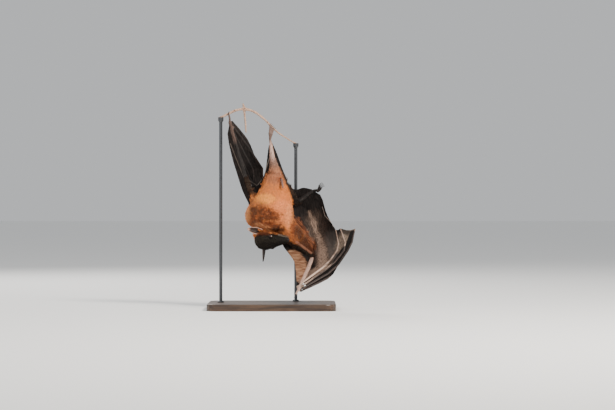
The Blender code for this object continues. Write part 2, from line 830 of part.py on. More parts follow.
def build_foot_right():
    """The free foot, half curled, its claws pointing back at the sole."""
    ankle = vec((117, 4, 321))
    ball_of_foot = vec((126.5, -7, 320))
    onward = unit((0.35, -0.45, 0.85))
    width_axis = unit(np.cross(onward, (0.9, 0.1, 0.5)))
    toes = [ball_of_foot + onward * 13 + width_axis * (k - 2) * 4.2 for k in range(5)]
    piece = foot("right_foot", ankle, ball_of_foot, toes, width_axis)
    claws = []
    for k, end in enumerate(toes):
        inward = unit(np.cross(width_axis, onward))
        arc = hook(end + onward * 1.3 + inward * 6.2, -inward, onward, 6.2, 105)
        claws.append(claw(f"right_toe_claw_{k + 1}", arc))
    return piece, claws


ARMS = {
    "left": [vec(LEFT_SHOULDER), (vec(LEFT_SHOULDER) + LEFT_ELBOW) / 2, LEFT_ELBOW, LEFT_WRIST],
    "right": [vec(RIGHT_SHOULDER), (vec(RIGHT_SHOULDER) + RIGHT_ELBOW) / 2, RIGHT_ELBOW, RIGHT_WRIST],
}
FINGERS = {"left": LEFT_FINGERS, "right": RIGHT_FINGERS}
SLACK = {"left": (2, 4, -2), "right": (-3, 6, 1)}


def thumb_shapes(side):
    """The left thumb stands up in front of the twig and hooks over it; the right one hangs free."""
    if side == "left":
        middle = twig_point(-116.5)[0]
        path = [LEFT_WRIST, LEFT_WRIST + vec((-1, -1, 14)), middle + vec((0, -8.6, -1))]
        return path, hook(middle, (0, -1, -0.1), (0, 0, 1), 5.9, 185)
    path = [RIGHT_WRIST, RIGHT_WRIST + vec((-4, -14, -6)), RIGHT_WRIST + vec((-7, -27, -11))]
    start = path[-1] + vec((-0.6, -3, -1.2))
    nail = [start + vec((-0.8, -3.0, -0.8)) * t + vec((0, 0.22, -0.12)) * t * t for t in range(7)]
    return path, np.array(nail)


def build_hand(side, whole, twig):
    """Fingers, the skin between them, and the thumb with its claw."""
    joints = FINGERS[side]
    bones = {}
    for digit in "5432":
        slim = 0.8 if digit == "2" else 1.0
        bones[digit] = finger(f"{side}_finger_{digit}", joints[digit], FINGER_RADIUS * slim)
        clear_of(bones[digit], [whole])
    for outer, inner in (("5", "4"), ("4", "3")):
        piece = web(f"{side}_web_{outer}_{inner}", joints[outer], joints[inner], SLACK[side])
        finish(clear_of(piece, [whole, bones[outer], bones[inner]]), WING_SKIN)
    lead = finger_line(joints["3"], 28)[3:13]
    edge = evenly(np.array(joints["2"] + [finger_line(joints["3"], 28)[13]]), 10)
    edge[1:-1] += 0.25 * (edge[1:-1] - lead[1:-1])
    piece = strip(f"{side}_web_3_2", lead, edge, 8)
    finish(clear_of(piece, [whole, *bones.values(), bpy.data.objects[f"{side}_web_4_3"]]), WING_SKIN)
    path, nail_curve = thumb_shapes(side)
    bm = bmesh.new()
    sweep(bm, round_stations(smooth(path, 2), (3.4, 2.8, 2.4, 2.2)), across=(1, 0.1, 0.1), sides=7)
    thumb = add_object(f"{side}_thumb", bm)
    nail = claw(f"{side}_thumb_claw", nail_curve, 1.6)
    clear_of(thumb, [whole, *bones.values(), nail, twig])
    finish(thumb, BARE_SKIN)
    finish(nail, HORN, 0.35)
    for piece in bones.values():
        finish(piece, FINGER_SKIN)


def build_skins(whole, skull, feet):
    """The skins that run from limb to limb, each cut clear of the flesh that carries it."""
    left_hem = [(-4.6, 0, 453), (-11, 2, 425), (-17, 5, 378), (-26, 9, 352), (-43, 20, 331), (-56, 34, 333)]
    left_skins = [
        strip(
            "left_side_skin",
            [(-36, 8, 262), (-30, 8, 290), (-14, 6, 335), (2, 0, 385), (-4, 0, 440)],
            [(-56, 16, 282), LEFT_ELBOW + vec((6, -2, -16)), *reversed(left_hem[1:-1]), (-8.5, 1, 442)],
            16,
            4,
        ),
        strip(
            "left_fold_skin",
            [(-60, 37, 338), LEFT_ELBOW + vec((3, 3, 0)), *evenly(np.array([LEFT_ELBOW, LEFT_WRIST]), 9)[1:4]],
            finger_line(LEFT_FINGERS["5"], 12)[11:5:-1],
            9,
        ),
        strip(
            "left_front_skin",
            ARMS["left"],
            [(-56, 2, 272), (-78, 4, 316), (-91, 2, 356), (-106, -6, 405), (-119, -14, 466), (-115, -14, 498)],
        ),
        strip(
            "left_tail_skin",
            [(19, 8, 330), (6, 2, 381), (-1, 1, 425), (-4, 0, 450)],
            [(42, 12, 345), (27, 9, 382), (12, 5, 424), (0, 2, 450)],
        ),
    ]
    right_skins = [
        side_skin(
            "right_side_skin",
            ARMS["right"],
            RIGHT_FINGERS,
            [(30, 2, 224), (38, 10, 262), (57, 26, 283), (86, 16, 302), (113, 6, 319)],
            [(116, 5, 317), (133, 3, 306), (139, 0, 286), (148, -11, 256), (162, -30, 230), (172, -46, 216)],
        ),
        strip(
            "right_front_skin",
            ARMS["right"],
            [(22, 6, 196), (31, 2, 169), (46, -20, 150), (61, -60, 128), (66, -100, 95), (68, -138, 64)],
            15,
            4,
        ),
        strip(
            "right_tail_skin",
            [(30, 12, 325), (57, 26, 283), (86, 16, 302), (112, 6.5, 319.5)],
            [(46, 14, 338), (62, 20, 322), (84, 16, 328), (109, 8, 323)],
        ),
    ]
    for side, pieces in (("left", left_skins), ("right", right_skins)):
        bones = [bpy.data.objects[f"{side}_finger_{digit}"] for digit in "5432"]
        others = [bpy.data.objects[f"{side}_thumb"], bpy.data.objects[f"{side}_web_5_4"]]
        for piece in pieces:
            clear_of(piece, [whole, skull, *feet, *bones, *others])
            others.append(finish(piece, WING_SKIN))


def build():
    clear_scene()
    body = flesh()
    whole = swollen(body, 0)
    parts = part_flesh(body)
    skull = build_head()
    ears = [bpy.data.objects[name] for name in ("left_ear", "right_ear")]
    for name in ("neck", "trunk", "right_upper_arm"):
        clear_of(parts[name], [skull, *ears])
    twig = perch()
    for side in ("left", "right"):
        build_hand(side, whole, twig)

    left_foot, left_claws = build_foot_left()
    right_foot, right_claws = build_foot_right()
    for piece, claws, leg in ((left_foot, left_claws, "left_leg"), (right_foot, right_claws, "right_leg")):
        clear_of(piece, [parts[leg], *claws, twig])
        finish(piece, BARE_SKIN if leg == "left_leg" else DARK_COAT)
        for nail in claws:
            finish(nail, HORN, 0.35)
    build_skins(whole, skull, [left_foot, right_foot])
    bpy.data.objects.remove(whole, do_unlink=True)

    bm = bmesh.new()
    curve = smooth([(26, -14, 350), (28, -27, 341), (29.5, -31, 332), (30, -31, 326)], 2)
    sweep(bm, round_stations(curve, (3.6, 3.4, 3.0, 2.6, 1.6)), sides=7)
    genital = add_object("genital", bm)
    finish(clear_of(genital, [parts["trunk"]]), BARE_SKIN)

    finish(twig, BARK, 0.75)
    finish(stand_base(), STAND_WOOD, 0.35)
    for name, x in (("stand_rod_left", -138), ("stand_rod_right", 64)):
        centre, _ = twig_point(x)
        rod = stand_rod(name, x, centre[1], centre[2] + 0.5)
        finish(clear_of(rod, [twig]), STAND_STEEL, 0.3, 0.9)
    for name, piece in parts.items():
        finish(piece, BARE_SKIN if name == "left_leg" else COAT)


build()
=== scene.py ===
# %% [markdown]
# # A fruit bat hanging from a twig, on a museum stand
# This lesson dresses a plain solid model of a fruit bat. The solids give every proportion, so the
# work here is what a model maker calls finishing: one skin over the whole animal, thin wings with
# their folds, wet eyes, horn claws, and a coat of real mesh tufts.
# The script runs from top to bottom and always gives the same animal, because every random
# number starts from a fixed seed.

import math

import bmesh
import bpy
import numpy as np
from mathutils import Matrix, Vector
from mathutils.bvhtree import BVHTree
from mathutils.kdtree import KDTree


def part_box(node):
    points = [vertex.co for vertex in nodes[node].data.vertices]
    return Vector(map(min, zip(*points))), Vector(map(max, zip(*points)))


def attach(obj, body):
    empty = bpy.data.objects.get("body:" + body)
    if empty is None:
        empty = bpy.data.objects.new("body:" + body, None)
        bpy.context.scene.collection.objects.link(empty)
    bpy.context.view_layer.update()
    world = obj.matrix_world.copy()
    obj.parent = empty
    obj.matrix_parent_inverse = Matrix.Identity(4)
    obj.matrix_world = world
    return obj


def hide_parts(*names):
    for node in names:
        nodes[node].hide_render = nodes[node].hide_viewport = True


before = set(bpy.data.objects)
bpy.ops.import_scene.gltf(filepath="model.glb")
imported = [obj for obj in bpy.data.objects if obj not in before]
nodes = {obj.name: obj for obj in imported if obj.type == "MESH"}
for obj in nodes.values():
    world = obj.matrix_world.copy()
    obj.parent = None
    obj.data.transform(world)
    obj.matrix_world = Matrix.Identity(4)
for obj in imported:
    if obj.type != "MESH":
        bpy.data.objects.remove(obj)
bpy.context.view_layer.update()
MM = 0.001

# %% [markdown]
# ## Camera, light and floor
# A long lens from five and a half metres keeps the animal's proportions almost free of
# perspective. The light is plain: one warm lamp high on the right, a weak cool one on the left, a
# third behind that draws the outline, and a pale floor.

# %% Camera
CAMERA_PLACE = (0.096, -5.5, 0.281)
LENS_MM = 119.3
SENSOR_MM = 36

scene = bpy.context.scene
camera = bpy.data.objects.new("camera", bpy.data.cameras.new("camera"))
camera.location = CAMERA_PLACE
camera.rotation_euler = (math.pi / 2, 0, 0)
camera.data.lens = LENS_MM
camera.data.sensor_width = SENSOR_MM
scene.collection.objects.link(camera)
scene.camera = camera
print("camera", CAMERA_PLACE, "lens", LENS_MM)

# %% Lamps and the light all round
MIDDLE = (0.03, 0, 0.3)


def lamp(name, place, size, power, colour):
    """A square lamp that points at the middle of the animal."""
    data = bpy.data.lights.new(name, "AREA")
    data.size = size
    data.energy = power
    data.color = colour
    obj = bpy.data.objects.new(name, data)
    obj.location = place
    obj.rotation_euler = (Vector(MIDDLE) - Vector(place)).to_track_quat("-Z", "Y").to_euler()
    scene.collection.objects.link(obj)


lamp("key_lamp", (1.7, -2.1, 2.4), 0.7, 185, (1.0, 0.94, 0.86))
lamp("fill_lamp", (-2.4, -2.2, 1.0), 2.2, 16, (0.90, 0.95, 1.0))
lamp("back_lamp", (-1.2, 2.3, 2.0), 1.2, 60, (1.0, 0.97, 0.93))

world = bpy.data.worlds.new("studio")
world.use_nodes = True
all_round = world.node_tree.nodes["Background"]
all_round.inputs["Color"].default_value = (0.86, 0.88, 0.90, 1)
all_round.inputs["Strength"].default_value = 0.66
scene.world = world
print(len(bpy.data.lights), "lamps and an even light all round")

# %% Floor
FLOOR_REACH = 30
floor_corners = [(x * FLOOR_REACH, y * FLOOR_REACH, 0) for x, y in ((-1, -1), (1, -1), (1, 1), (-1, 1))]
floor_mesh = bpy.data.meshes.new("floor")
floor_mesh.from_pydata(floor_corners, [], [(0, 1, 2, 3)])
floor = bpy.data.objects.new("floor", floor_mesh)
scene.collection.objects.link(floor)
floor_paint = bpy.data.materials.new("floor")
floor_paint.use_nodes = True
floor_shader = floor_paint.node_tree.nodes["Principled BSDF"]
floor_shader.inputs["Base Color"].default_value = (0.90, 0.90, 0.89, 1)
floor_shader.inputs["Roughness"].default_value = 0.9
floor_mesh.materials.append(floor_paint)
print("floor", 2 * FLOOR_REACH, "m wide")

# %% [markdown]
# ## Small tools for meshes
# The skin and the coat are made of hundreds of thousands of corners, so their sums are done on
# whole arrays at once. These helpers turn a mesh into arrays and back.

# %% Meshes as arrays
X, Y, Z = range(3)


def corners(mesh):
    """The places of all the corners, a row for each."""
    co = np.empty(len(mesh.vertices) * 3)
    mesh.vertices.foreach_get("co", co)
    return co.reshape(-1, 3)


def set_corners(mesh, co):
    """Moves all the corners of a mesh to new places."""
    mesh.vertices.foreach_set("co", co.ravel())
    mesh.update()


def corner_normals(mesh):
    """The way the surface faces at each corner."""
    facing = np.empty(len(mesh.vertices) * 3)
    mesh.vertices.foreach_get("normal", facing)
    return facing.reshape(-1, 3)


def edge_pairs(mesh):
    """The numbers of the two corners of each edge."""
    pairs = np.empty(len(mesh.edges) * 2, dtype=np.int64)
    mesh.edges.foreach_get("vertices", pairs)
    return pairs.reshape(-1, 2)


def spread(values, pairs, rounds, share=0.5):
    """Evens out a value from corner to corner, along the edges."""
    count = len(values)
    ends = np.concatenate([pairs[:, 0], pairs[:, 1]])
    others = np.concatenate([pairs[:, 1], pairs[:, 0]])
    degree = np.maximum(np.bincount(ends, minlength=count), 1)
    values = values.astype(float)
    for _ in range(rounds):
        if values.ndim == 1:
            total = np.bincount(ends, weights=values[others], minlength=count)
            values = values + share * (total / degree - values)
        else:
            for k in range(values.shape[1]):
                total = np.bincount(ends, weights=values[others, k], minlength=count)
                values[:, k] += share * (total / degree - values[:, k])
    return values


def step(x, low, high):
    """0 below low, 1 above high, with a soft slope between them."""
    t = np.clip((x - low) / (high - low), 0, 1)
    return t * t * (3 - 2 * t)


print("array helpers ready")

# %% Adding a finished piece


def put(name, mesh, *replaced, slot=None, material=None):
    """Adds a finished mesh to the scene; it rides with the model and stands for these solids."""
    obj = bpy.data.objects.new(name, mesh)
    scene.collection.objects.link(obj)
    if material:
        mesh.materials.clear()
        mesh.materials.append(material)
    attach(obj, "root")
    if replaced:
        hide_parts(*replaced)
    return obj


def evaluated(obj):
    """The mesh of an object as its modifiers leave it."""
    graph = bpy.context.evaluated_depsgraph_get()
    return bpy.data.meshes.new_from_object(obj.evaluated_get(graph))


print("pieces ride with the model")

# %% [markdown]
# ## One skin
# The solids are cut apart at the neck, the shoulders and the hips, and each wing skin stands a
# hair's breadth off the limb that carries it. A real skin has none of these seams. So every
# fleshy solid is swollen until it touches its neighbours, and a voxel remesh melts them all into
# one closed surface. Membranes then run into arms and fingers with a small natural fillet.

# %% Name the fleshy solids
SIDES = ("left", "right")
FURRY = ["trunk", "neck", "head", "left_upper_arm", "right_upper_arm"]
LIMBS = ["left_forearm", "right_forearm", "left_leg", "right_leg", "left_foot", "right_foot"]
LIMBS += ["left_thumb", "right_thumb", "genital"]
EARS = ["left_ear", "right_ear"]
BONES = [f"{side}_finger_{digit}" for side in SIDES for digit in "2345"]
MEMBRANES = [n for n in nodes if n.endswith("_skin") or "_web_" in n]
BODY = FURRY + LIMBS
FLESH = BODY + EARS + BONES + MEMBRANES
print(len(FLESH), "solids of flesh,", len(MEMBRANES), "of them wing skins")

# %% Swell each of them
SWELL = 0.36 * MM
WING_SWELL = 0.56 * MM
SHARP_EDGE_LIMIT = 1.7
WELD = 1e-6


def swollen(name):
    """A solid with its corners moved out along their normals, and further at a sharp edge."""
    one = bmesh.new()
    one.from_mesh(nodes[name].data)
    bmesh.ops.remove_doubles(one, verts=one.verts, dist=WELD)
    one.normal_update()
    swell = WING_SWELL if name in BONES + MEMBRANES else SWELL
    moves = [v.normal * swell * min(v.calc_shell_factor(), SHARP_EDGE_LIMIT) for v in one.verts]
    for v, move in zip(one.verts, moves):
        v.co += move
    mesh = bpy.data.meshes.new("swollen")
    one.to_mesh(mesh)
    one.free()
    return mesh


flesh = bmesh.new()
for name in FLESH:
    swollen_mesh = swollen(name)
    flesh.from_mesh(swollen_mesh)
    bpy.data.meshes.remove(swollen_mesh)
print(len(flesh.verts), "corners before melting")

# %% [markdown]
# A few gaps are too wide for that. A disc of skin closes the narrow end of the left wing's fold,
# between the forearm and finger 5. A lump of flesh thickens the corner behind each wrist, where
# the forearm, finger 5 and the wing skin meet, and short rods join the finger bones to the wrist.

# %% Fill the wider gaps
FOLD_SPOT = (-86, 26, 409)
FOLD_FACING = (0.935, -0.334, 0.122)
FOLD_RADIUS = 8.5 * MM
FOLD_THICKNESS = 1.6 * MM
WRIST_LUMPS = ((-105, -6, 490), (84, -131, 65))
LUMP_RADIUS = 4.6 * MM
WRISTS = {"left": (-112.8, -13.1, 502.3), "right": (73.0, -141.7, 59.2)}
ROD_RADII = (2.7 * MM, 2.4 * MM)
ROD_EXTRA = 3 * MM
ROOT_CORNERS = 12


def add_rod(centre, run, radii, length, sides):
    """A disc or rod of flesh around a centre, across or along the direction of run."""
    place = Matrix.Translation(centre) @ run.to_track_quat("Z", "Y").to_matrix().to_4x4()
    bmesh.ops.create_cone(flesh, cap_ends=True, segments=sides, radius1=radii[0], radius2=radii[1],
                          depth=length, matrix=place)


add_rod(Vector(FOLD_SPOT) * MM, Vector(FOLD_FACING), (FOLD_RADIUS, FOLD_RADIUS), FOLD_THICKNESS, 16)
for spot in WRIST_LUMPS:
    bmesh.ops.create_icosphere(flesh, subdivisions=2, radius=LUMP_RADIUS,
                               matrix=Matrix.Translation(Vector(spot) * MM))
for side, wrist in WRISTS.items():
    wrist = np.array(wrist) * MM
    for digit in "2345":
        points = corners(nodes[f"{side}_finger_{digit}"].data)
        nearest_first = np.argsort(np.linalg.norm(points - wrist, axis=1))
        root = points[nearest_first[:ROOT_CORNERS]].mean(axis=0)
        run = Vector(root - wrist)
        add_rod(Vector(root + wrist) / 2, run, ROD_RADII, run.length + ROD_EXTRA, 10)
print("1 disc,", len(WRIST_LUMPS), "lumps and", len(BONES), "rods of flesh added")

# %% Melt it all into one skin
SKIN_VOXEL = 1.0 * MM
KEPT_SHARE = 0.62

raw_mesh = bpy.data.meshes.new("raw")
flesh.to_mesh(raw_mesh)
flesh.free()
raw = bpy.data.objects.new("raw", raw_mesh)
scene.collection.objects.link(raw)
remesh = raw.modifiers.new("remesh", "REMESH")
remesh.mode = "VOXEL"
remesh.voxel_size = SKIN_VOXEL
thinning = raw.modifiers.new("thinning", "DECIMATE")
thinning.ratio = KEPT_SHARE
skin_mesh = evaluated(raw)
skin_mesh.name = "skin"
bpy.data.objects.remove(raw)
skin_pairs = edge_pairs(skin_mesh)
print("skin", len(skin_mesh.vertices), "corners", len(skin_mesh.polygons), "faces")

# %% [markdown]
# ## Which solid is each bit of skin on?
# One nearest-point search per corner says which solid it came from. From that come soft masks for
# fur, membrane, finger bone and bare skin, and the depth of the coat. They are evened out over
# the surface, so that fur thins out over a few millimetres and never stops at a line.

# %% Search trees over the solids


def tree_of(names):
    """A search tree over the triangles of several solids, and the solid that each one is in."""
    points = []
    faces = []
    owner = []
    for name in names:
        mesh = nodes[name].data
        start = len(points)
        points += [v.co.copy() for v in mesh.vertices]
        mesh.calc_loop_triangles()
        for tri in mesh.loop_triangles:
            faces.append([start + v for v in tri.vertices])
            owner.append(name)
    return BVHTree.FromPolygons(points, faces), owner


flesh_tree, flesh_owner = tree_of(FLESH)
body_tree, body_owner = tree_of(BODY)


def flesh_at(point):
    """The solid that a point of the skin is on."""
    return flesh_owner[flesh_tree.find_nearest(Vector(point))[2]]


def body_at(point):
    """The nearest solid of trunk, head and limbs, the way it faces there, and how far off it is."""
    _, facing, face, distance = body_tree.find_nearest(Vector(point))
    return body_owner[face], facing, distance


print(len(flesh_owner), "triangles to search")

# %% [markdown]
# The head is turned on its neck, so it gets directions of its own: forward to the nose, up to the
# crown, and to its left. Because the animal hangs, its crown points down.

# %% The head's own directions
HEAD_CENTRE = np.array([-21, -30, 184.5]) * MM
FORWARD = np.array([0.97, -0.20, 0.03])
FORWARD /= np.linalg.norm(FORWARD)
CROWN = np.array([0.0, -0.87, -0.50])
CROWN -= CROWN @ FORWARD * FORWARD
CROWN /= np.linalg.norm(CROWN)
LEFTWARD = np.cross(CROWN, FORWARD)


def on_head(forward, left, up):
    """A point given from the middle of the head: to the nose, to its left, to its crown, in mm."""
    return HEAD_CENTRE + (FORWARD * forward + LEFTWARD * left + CROWN * up) * MM


print("nose points to", FORWARD.round(2), "and crown to", CROWN.round(2))

# %% The depth of the coat, in mm
ARM_LINES = {
    # shoulder and elbow
    "left_upper_arm": (np.array([-32, 5, 243]), np.array([-73, 40, 348])),
    "right_upper_arm": (np.array([30, 2, 224]), np.array([112.9, 0, 140.1])),
}
SHOULDER_DEPTH = {"left_upper_arm": 3.8, "right_upper_arm": 6.2}
ELBOW_DEPTH = 0.9
EVEN_DEPTH = {"neck": 6.0, "right_leg": 0.5, "left_forearm": 0.5, "right_forearm": 0.6}


def coat_depth(owner, point):
    """Deep on the body, thin out along the limbs, and nothing on feet and thumbs."""
    x, _, z = point / MM
    if owner == "trunk":
        right_hip = step(x, 56, 78) * step(z, 250, 268)
        return (6.5 - 4.3 * step(z, 322, 374)) * (1 - 0.75 * right_hip)
    if owner == "left_leg":
        return 2.3 - 2.0 * step(z, 374, 404)
    if owner == "head":
        return 2.5 - 1.7 * step((point - HEAD_CENTRE) @ FORWARD, 22 * MM, 56 * MM)
    if owner in ARM_LINES:
        shoulder, elbow = ARM_LINES[owner]
        arm = elbow - shoulder
        along = np.clip((point / MM - shoulder) @ arm / (arm @ arm), 0, 1)
        return SHOULDER_DEPTH[owner] * (1 - along) + ELBOW_DEPTH * along
    return EVEN_DEPTH.get(owner, 0)


print("coat", coat_depth("neck", HEAD_CENTRE), "mm deep on the neck")

# %% Soft masks over the skin
FUR, WEB, BONE, BARE = range(4)
NEAR_BODY = 0.8 * MM
FADE_OFF_BODY = 3 * MM

start_co = corners(skin_mesh)
kind = np.zeros((len(start_co), 4))
depth = np.zeros(len(start_co))
push = np.zeros_like(start_co)
for i, point in enumerate(start_co):
    owner = flesh_at(point)
    kind[i] = (owner in FURRY, owner in MEMBRANES, owner in BONES, owner in LIMBS or owner in EARS)
    if owner in EARS or owner in BONES:
        continue
    owner, facing, distance = body_at(point)
    near = 1 - min(max((distance - NEAR_BODY) / FADE_OFF_BODY, 0), 1)
    depth[i] = coat_depth(owner, point) * MM * near
    push[i] = np.array(facing) * depth[i]
kind = spread(kind, skin_pairs, 6)
depth = spread(depth, skin_pairs, 16)
push = spread(push, skin_pairs, 16)
print("deepest coat", round(depth.max() / MM, 1), "mm")

# %% [markdown]
# The solids reach out to the tips of the coat, so the skin is pushed in by the coat's depth: deep
# on the trunk, almost nothing on the forearms. Where there is no coat, it goes back by most of
# what it was swollen. Two opposite rounds of smoothing take away the voxel steps and keep the
# volume.

# %% Push the skin in under the coat


def smoothed(co, rounds, share):
    """Smooths a surface, with a slightly stronger step back out after each step in."""
    for _ in range(rounds):
        co = spread(co, skin_pairs, 1, share)
        co = spread(co, skin_pairs, 1, -share - 0.02)
    return co


TAKEN_BACK = 0.85
BARE_DEPTH = 2 * MM

co = smoothed(start_co, 5, 0.55)
set_corners(skin_mesh, co)
outer_normals = corner_normals(skin_mesh)
swollen_by = SWELL + (WING_SWELL - SWELL) * np.clip(kind[:, WEB] + kind[:, BONE], 0, 1)
bare_share = 1 - np.minimum(depth / BARE_DEPTH, 1)
co = co - push - outer_normals * (TAKEN_BACK * swollen_by * bare_share)[:, None]
co = smoothed(co, 4, 0.5)
set_corners(skin_mesh, co)
inner_normals = corner_normals(skin_mesh)
print("skin pushed in")

# %% [markdown]
# The parting of the lips and the clefts between the toes are shallow grooves in this skin. Each
# groove is a mask over the corners, and the skin is pressed in as far as the mask says.

# %% Press in the lips
LIP_DEPTH = 1.3 * MM


def mouth_mask(points, half_width):
    """1 along the parting of the lips, on both sides of the muzzle and under the nose."""
    arm = (points - HEAD_CENTRE) / MM
    forward, left, up = arm @ FORWARD, np.abs(arm @ LEFTWARD), arm @ CROWN
    parting = -5.6 - 1.6 * np.sin(np.clip((forward - 26) / 40, 0, 1) * math.pi)
    beside = step(forward, 24, 30) * (1 - step(forward, 70, 72)) * (left < 24)
    return beside * np.exp(-(((up - parting) / half_width) ** 2)) * (np.abs(up) < 16)


lips = mouth_mask(co, 1.0)
co = co - inner_normals * (lips * LIP_DEPTH)[:, None]
print((lips > 0.5).sum(), "corners along the lips")

# %% Press in the clefts between the toes
CLEFT_DEPTH = 1.5 * MM
CLEFT_HALF_WIDTH = 0.9 * MM
FOOT_REACH = 30 * MM


def toe_mask(points, side):
    """1 in the four clefts between the five toes of one foot, fading out towards the ankle."""
    claws = np.array([np.mean(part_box(f"{side}_toe_claw_{k}"), axis=0) for k in range(1, 6)])
    ankle = np.mean(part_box(f"{side}_leg"), axis=0)
    row = (claws[4] - claws[0]) / np.linalg.norm(claws[4] - claws[0])
    down = ankle - claws.mean(axis=0)
    down -= down @ row * row
    down /= np.linalg.norm(down)
    places = np.sort(claws @ row)
    mask = np.zeros(len(points))
    for cleft in (places[1:] + places[:-1]) / 2:
        mask = np.maximum(mask, np.exp(-(((points @ row - cleft) / CLEFT_HALF_WIDTH) ** 2)))
    fade = 1 - step((points - claws.mean(axis=0)) @ down, 9 * MM, 21 * MM)
    close_by = np.linalg.norm(points - claws.mean(axis=0), axis=1) < FOOT_REACH
    return mask * fade * close_by


on_foot = np.zeros(len(co))
for i in np.flatnonzero(kind[:, BARE] > 0.5):
    on_foot[i] = body_at(start_co[i])[0].endswith("_foot")
clefts = on_foot * np.maximum(toe_mask(co, "left"), toe_mask(co, "right"))
co = co - inner_normals * (clefts * CLEFT_DEPTH)[:, None]
set_corners(skin_mesh, co)
print((clefts > 0.5).sum(), "corners between the toes")

# %% [markdown]
# The inside of an ear is dark, partly its own skin and partly painted shade, and its rim pale. So
# each corner of an ear gets both as masks, from the way it faces and from how near it is to the
# ear's outline, a long pointed leaf.

# %% Ear masks
EAR_LENGTH = 35 * MM
EAR_HALF_WIDTH = 9.4 * MM
EAR_LINES = {
    # root, tip, and the way the ear opens
    "left_ear": (on_head(-7.5, 27, -5), on_head(-40, 36, -5), (0.25, -0.95, 0.1)),
    "right_ear": (on_head(3, -21, 9), on_head(-4.5, -52, 20), (0.95, -0.05, -0.2)),
}
ear_inside = np.zeros(len(co))
ear_rim = np.zeros(len(co))
ear_corners = {name: [] for name in EARS}
for i in np.flatnonzero(kind[:, BARE] > 0.4):
    owner = flesh_at(start_co[i])
    if owner in EARS:
        ear_corners[owner].append(i)
for name, (root, tip, opening) in EAR_LINES.items():
    lengthwise = (tip - root) / np.linalg.norm(tip - root)
    faces = np.array(opening) - np.dot(opening, lengthwise) * lengthwise
    sideways = np.cross(faces / np.linalg.norm(faces), lengthwise)
    index = np.array(ear_corners[name])
    share_along = np.clip((start_co[index] - root) @ lengthwise / EAR_LENGTH, 0, 1)
    half = EAR_HALF_WIDTH * np.sin(np.pi * (0.24 + 0.70 * share_along)) ** 0.8
    share_across = np.abs((start_co[index] - root) @ sideways) / half
    ear_inside[index] = step(outer_normals[index] @ faces, 0.1, 0.5)
    ear_rim[index] = np.maximum(step(share_across, 0.62, 0.9), step(share_along, 0.72, 0.95))
print({name: len(index) for name, index in ear_corners.items()}, "corners on the ears")

# %% Store the masks on the skin
MASKS = {
    "furry": kind[:, FUR],
    "membrane": kind[:, WEB],
    "bone": kind[:, BONE],
    "ear_inside": spread(ear_inside, skin_pairs, 2),
    "ear_rim": spread(ear_rim, skin_pairs, 2),
    "lips": lips,
}
for name, values in MASKS.items():
    layer = skin_mesh.attributes.new(name, "FLOAT", "POINT")
    layer.data.foreach_set("value", values.astype(np.float32))
skin_mesh.shade_smooth()
print("masks", list(MASKS))

# %% [markdown]
# ## Shared effects
# Several materials need the same few effects, so each is a small shader group with named inputs.
# `soft_patch` is a cloud-edged spot of a marking: 1 in the middle, 0 outside its reach. `streaks`
# is long fibres along one axis, for hair, wing skin, bark and wood. `soft_line` is the same kind of
# mask along a straight line of the front view, for ridges, hems and streaks.

# %% Groups and nodes


def group(name, inputs, output, output_kind):
    """A new group with these inputs and one output, and the sockets on its inner side."""
    tree = bpy.data.node_groups.new(name, "ShaderNodeTree")
    for label, kind_of in inputs.items():
        tree.interface.new_socket(label, in_out="INPUT", socket_type="NodeSocket" + kind_of)
    tree.interface.new_socket(output, in_out="OUTPUT", socket_type="NodeSocket" + output_kind)
    return tree, tree.nodes.new("NodeGroupInput").outputs, tree.nodes.new("NodeGroupOutput").inputs


def feed(tree, socket, value):
    """Links a socket to another node's socket, or sets it to a plain value."""
    if isinstance(value, bpy.types.NodeSocket):
        tree.links.new(value, socket)
    else:
        socket.default_value = value


def node(tree, kind_of, settings=None, **inputs):
    """A shader node with its settings and inputs; i0, i1 and so on are inputs by number."""
    made = tree.nodes.new("ShaderNode" + kind_of)
    for key, value in (settings or {}).items():
        setattr(made, key, value)
    for key, value in inputs.items():
        numbered = key[0] == "i" and key[1:].isdigit()
        feed(tree, made.inputs[int(key[1:]) if numbered else key.replace("_", " ")], value)
    return made


def mixed(tree, factor, first, second, mode="MIX"):
    """Two colours mixed: the first where the factor is 0 and the second where it is 1."""
    made = tree.nodes.new("ShaderNodeMix")
    made.data_type = "RGBA"
    made.blend_type = mode
    # The colour sockets of this node are inputs 6 and 7 and output 2.
    for number, value in ((0, factor), (6, first), (7, second)):
        feed(tree, made.inputs[number], value)
    return made.outputs[2]


print("node builders ready")

# %% Sums, slopes and colours


def combined(tree, first, second, operation):
    """Two values joined by an operation of the Math node."""
    return node(tree, "Math", {"operation": operation}, i0=first, i1=second).outputs[0]


def times(tree, first, second):
    """Two values multiplied."""
    return combined(tree, first, second, "MULTIPLY")


def vectors(tree, operation, first, second):
    """Two vectors joined by an operation of the Vector Math node."""
    return node(tree, "VectorMath", {"operation": operation}, i0=first, i1=second)


def ramp(tree, value, low, high, to_low=0.0, to_high=1.0):
    """A soft slope from to_low to to_high while the input goes from low to high."""
    made = node(tree, "MapRange", {"interpolation_type": "SMOOTHSTEP"}, Value=value)
    for key, number in (("From Min", low), ("From Max", high), ("To Min", to_low), ("To Max", to_high)):
        made.inputs[key].default_value = number
    return made.outputs[0]


def srgb(code):
    """A colour from its usual six-letter code, as the linear values that shaders work in."""
    parts = [int(code[k : k + 2], 16) / 255 for k in (0, 2, 4)]
    return (*[c / 12.92 if c < 0.04045 else ((c + 0.055) / 1.055) ** 2.4 for c in parts], 1)


print("rust is", [round(c, 3) for c in srgb("8f431c")])

# %% The groups for patches, lines and streaks
CLOUD_SCALE = 120.0


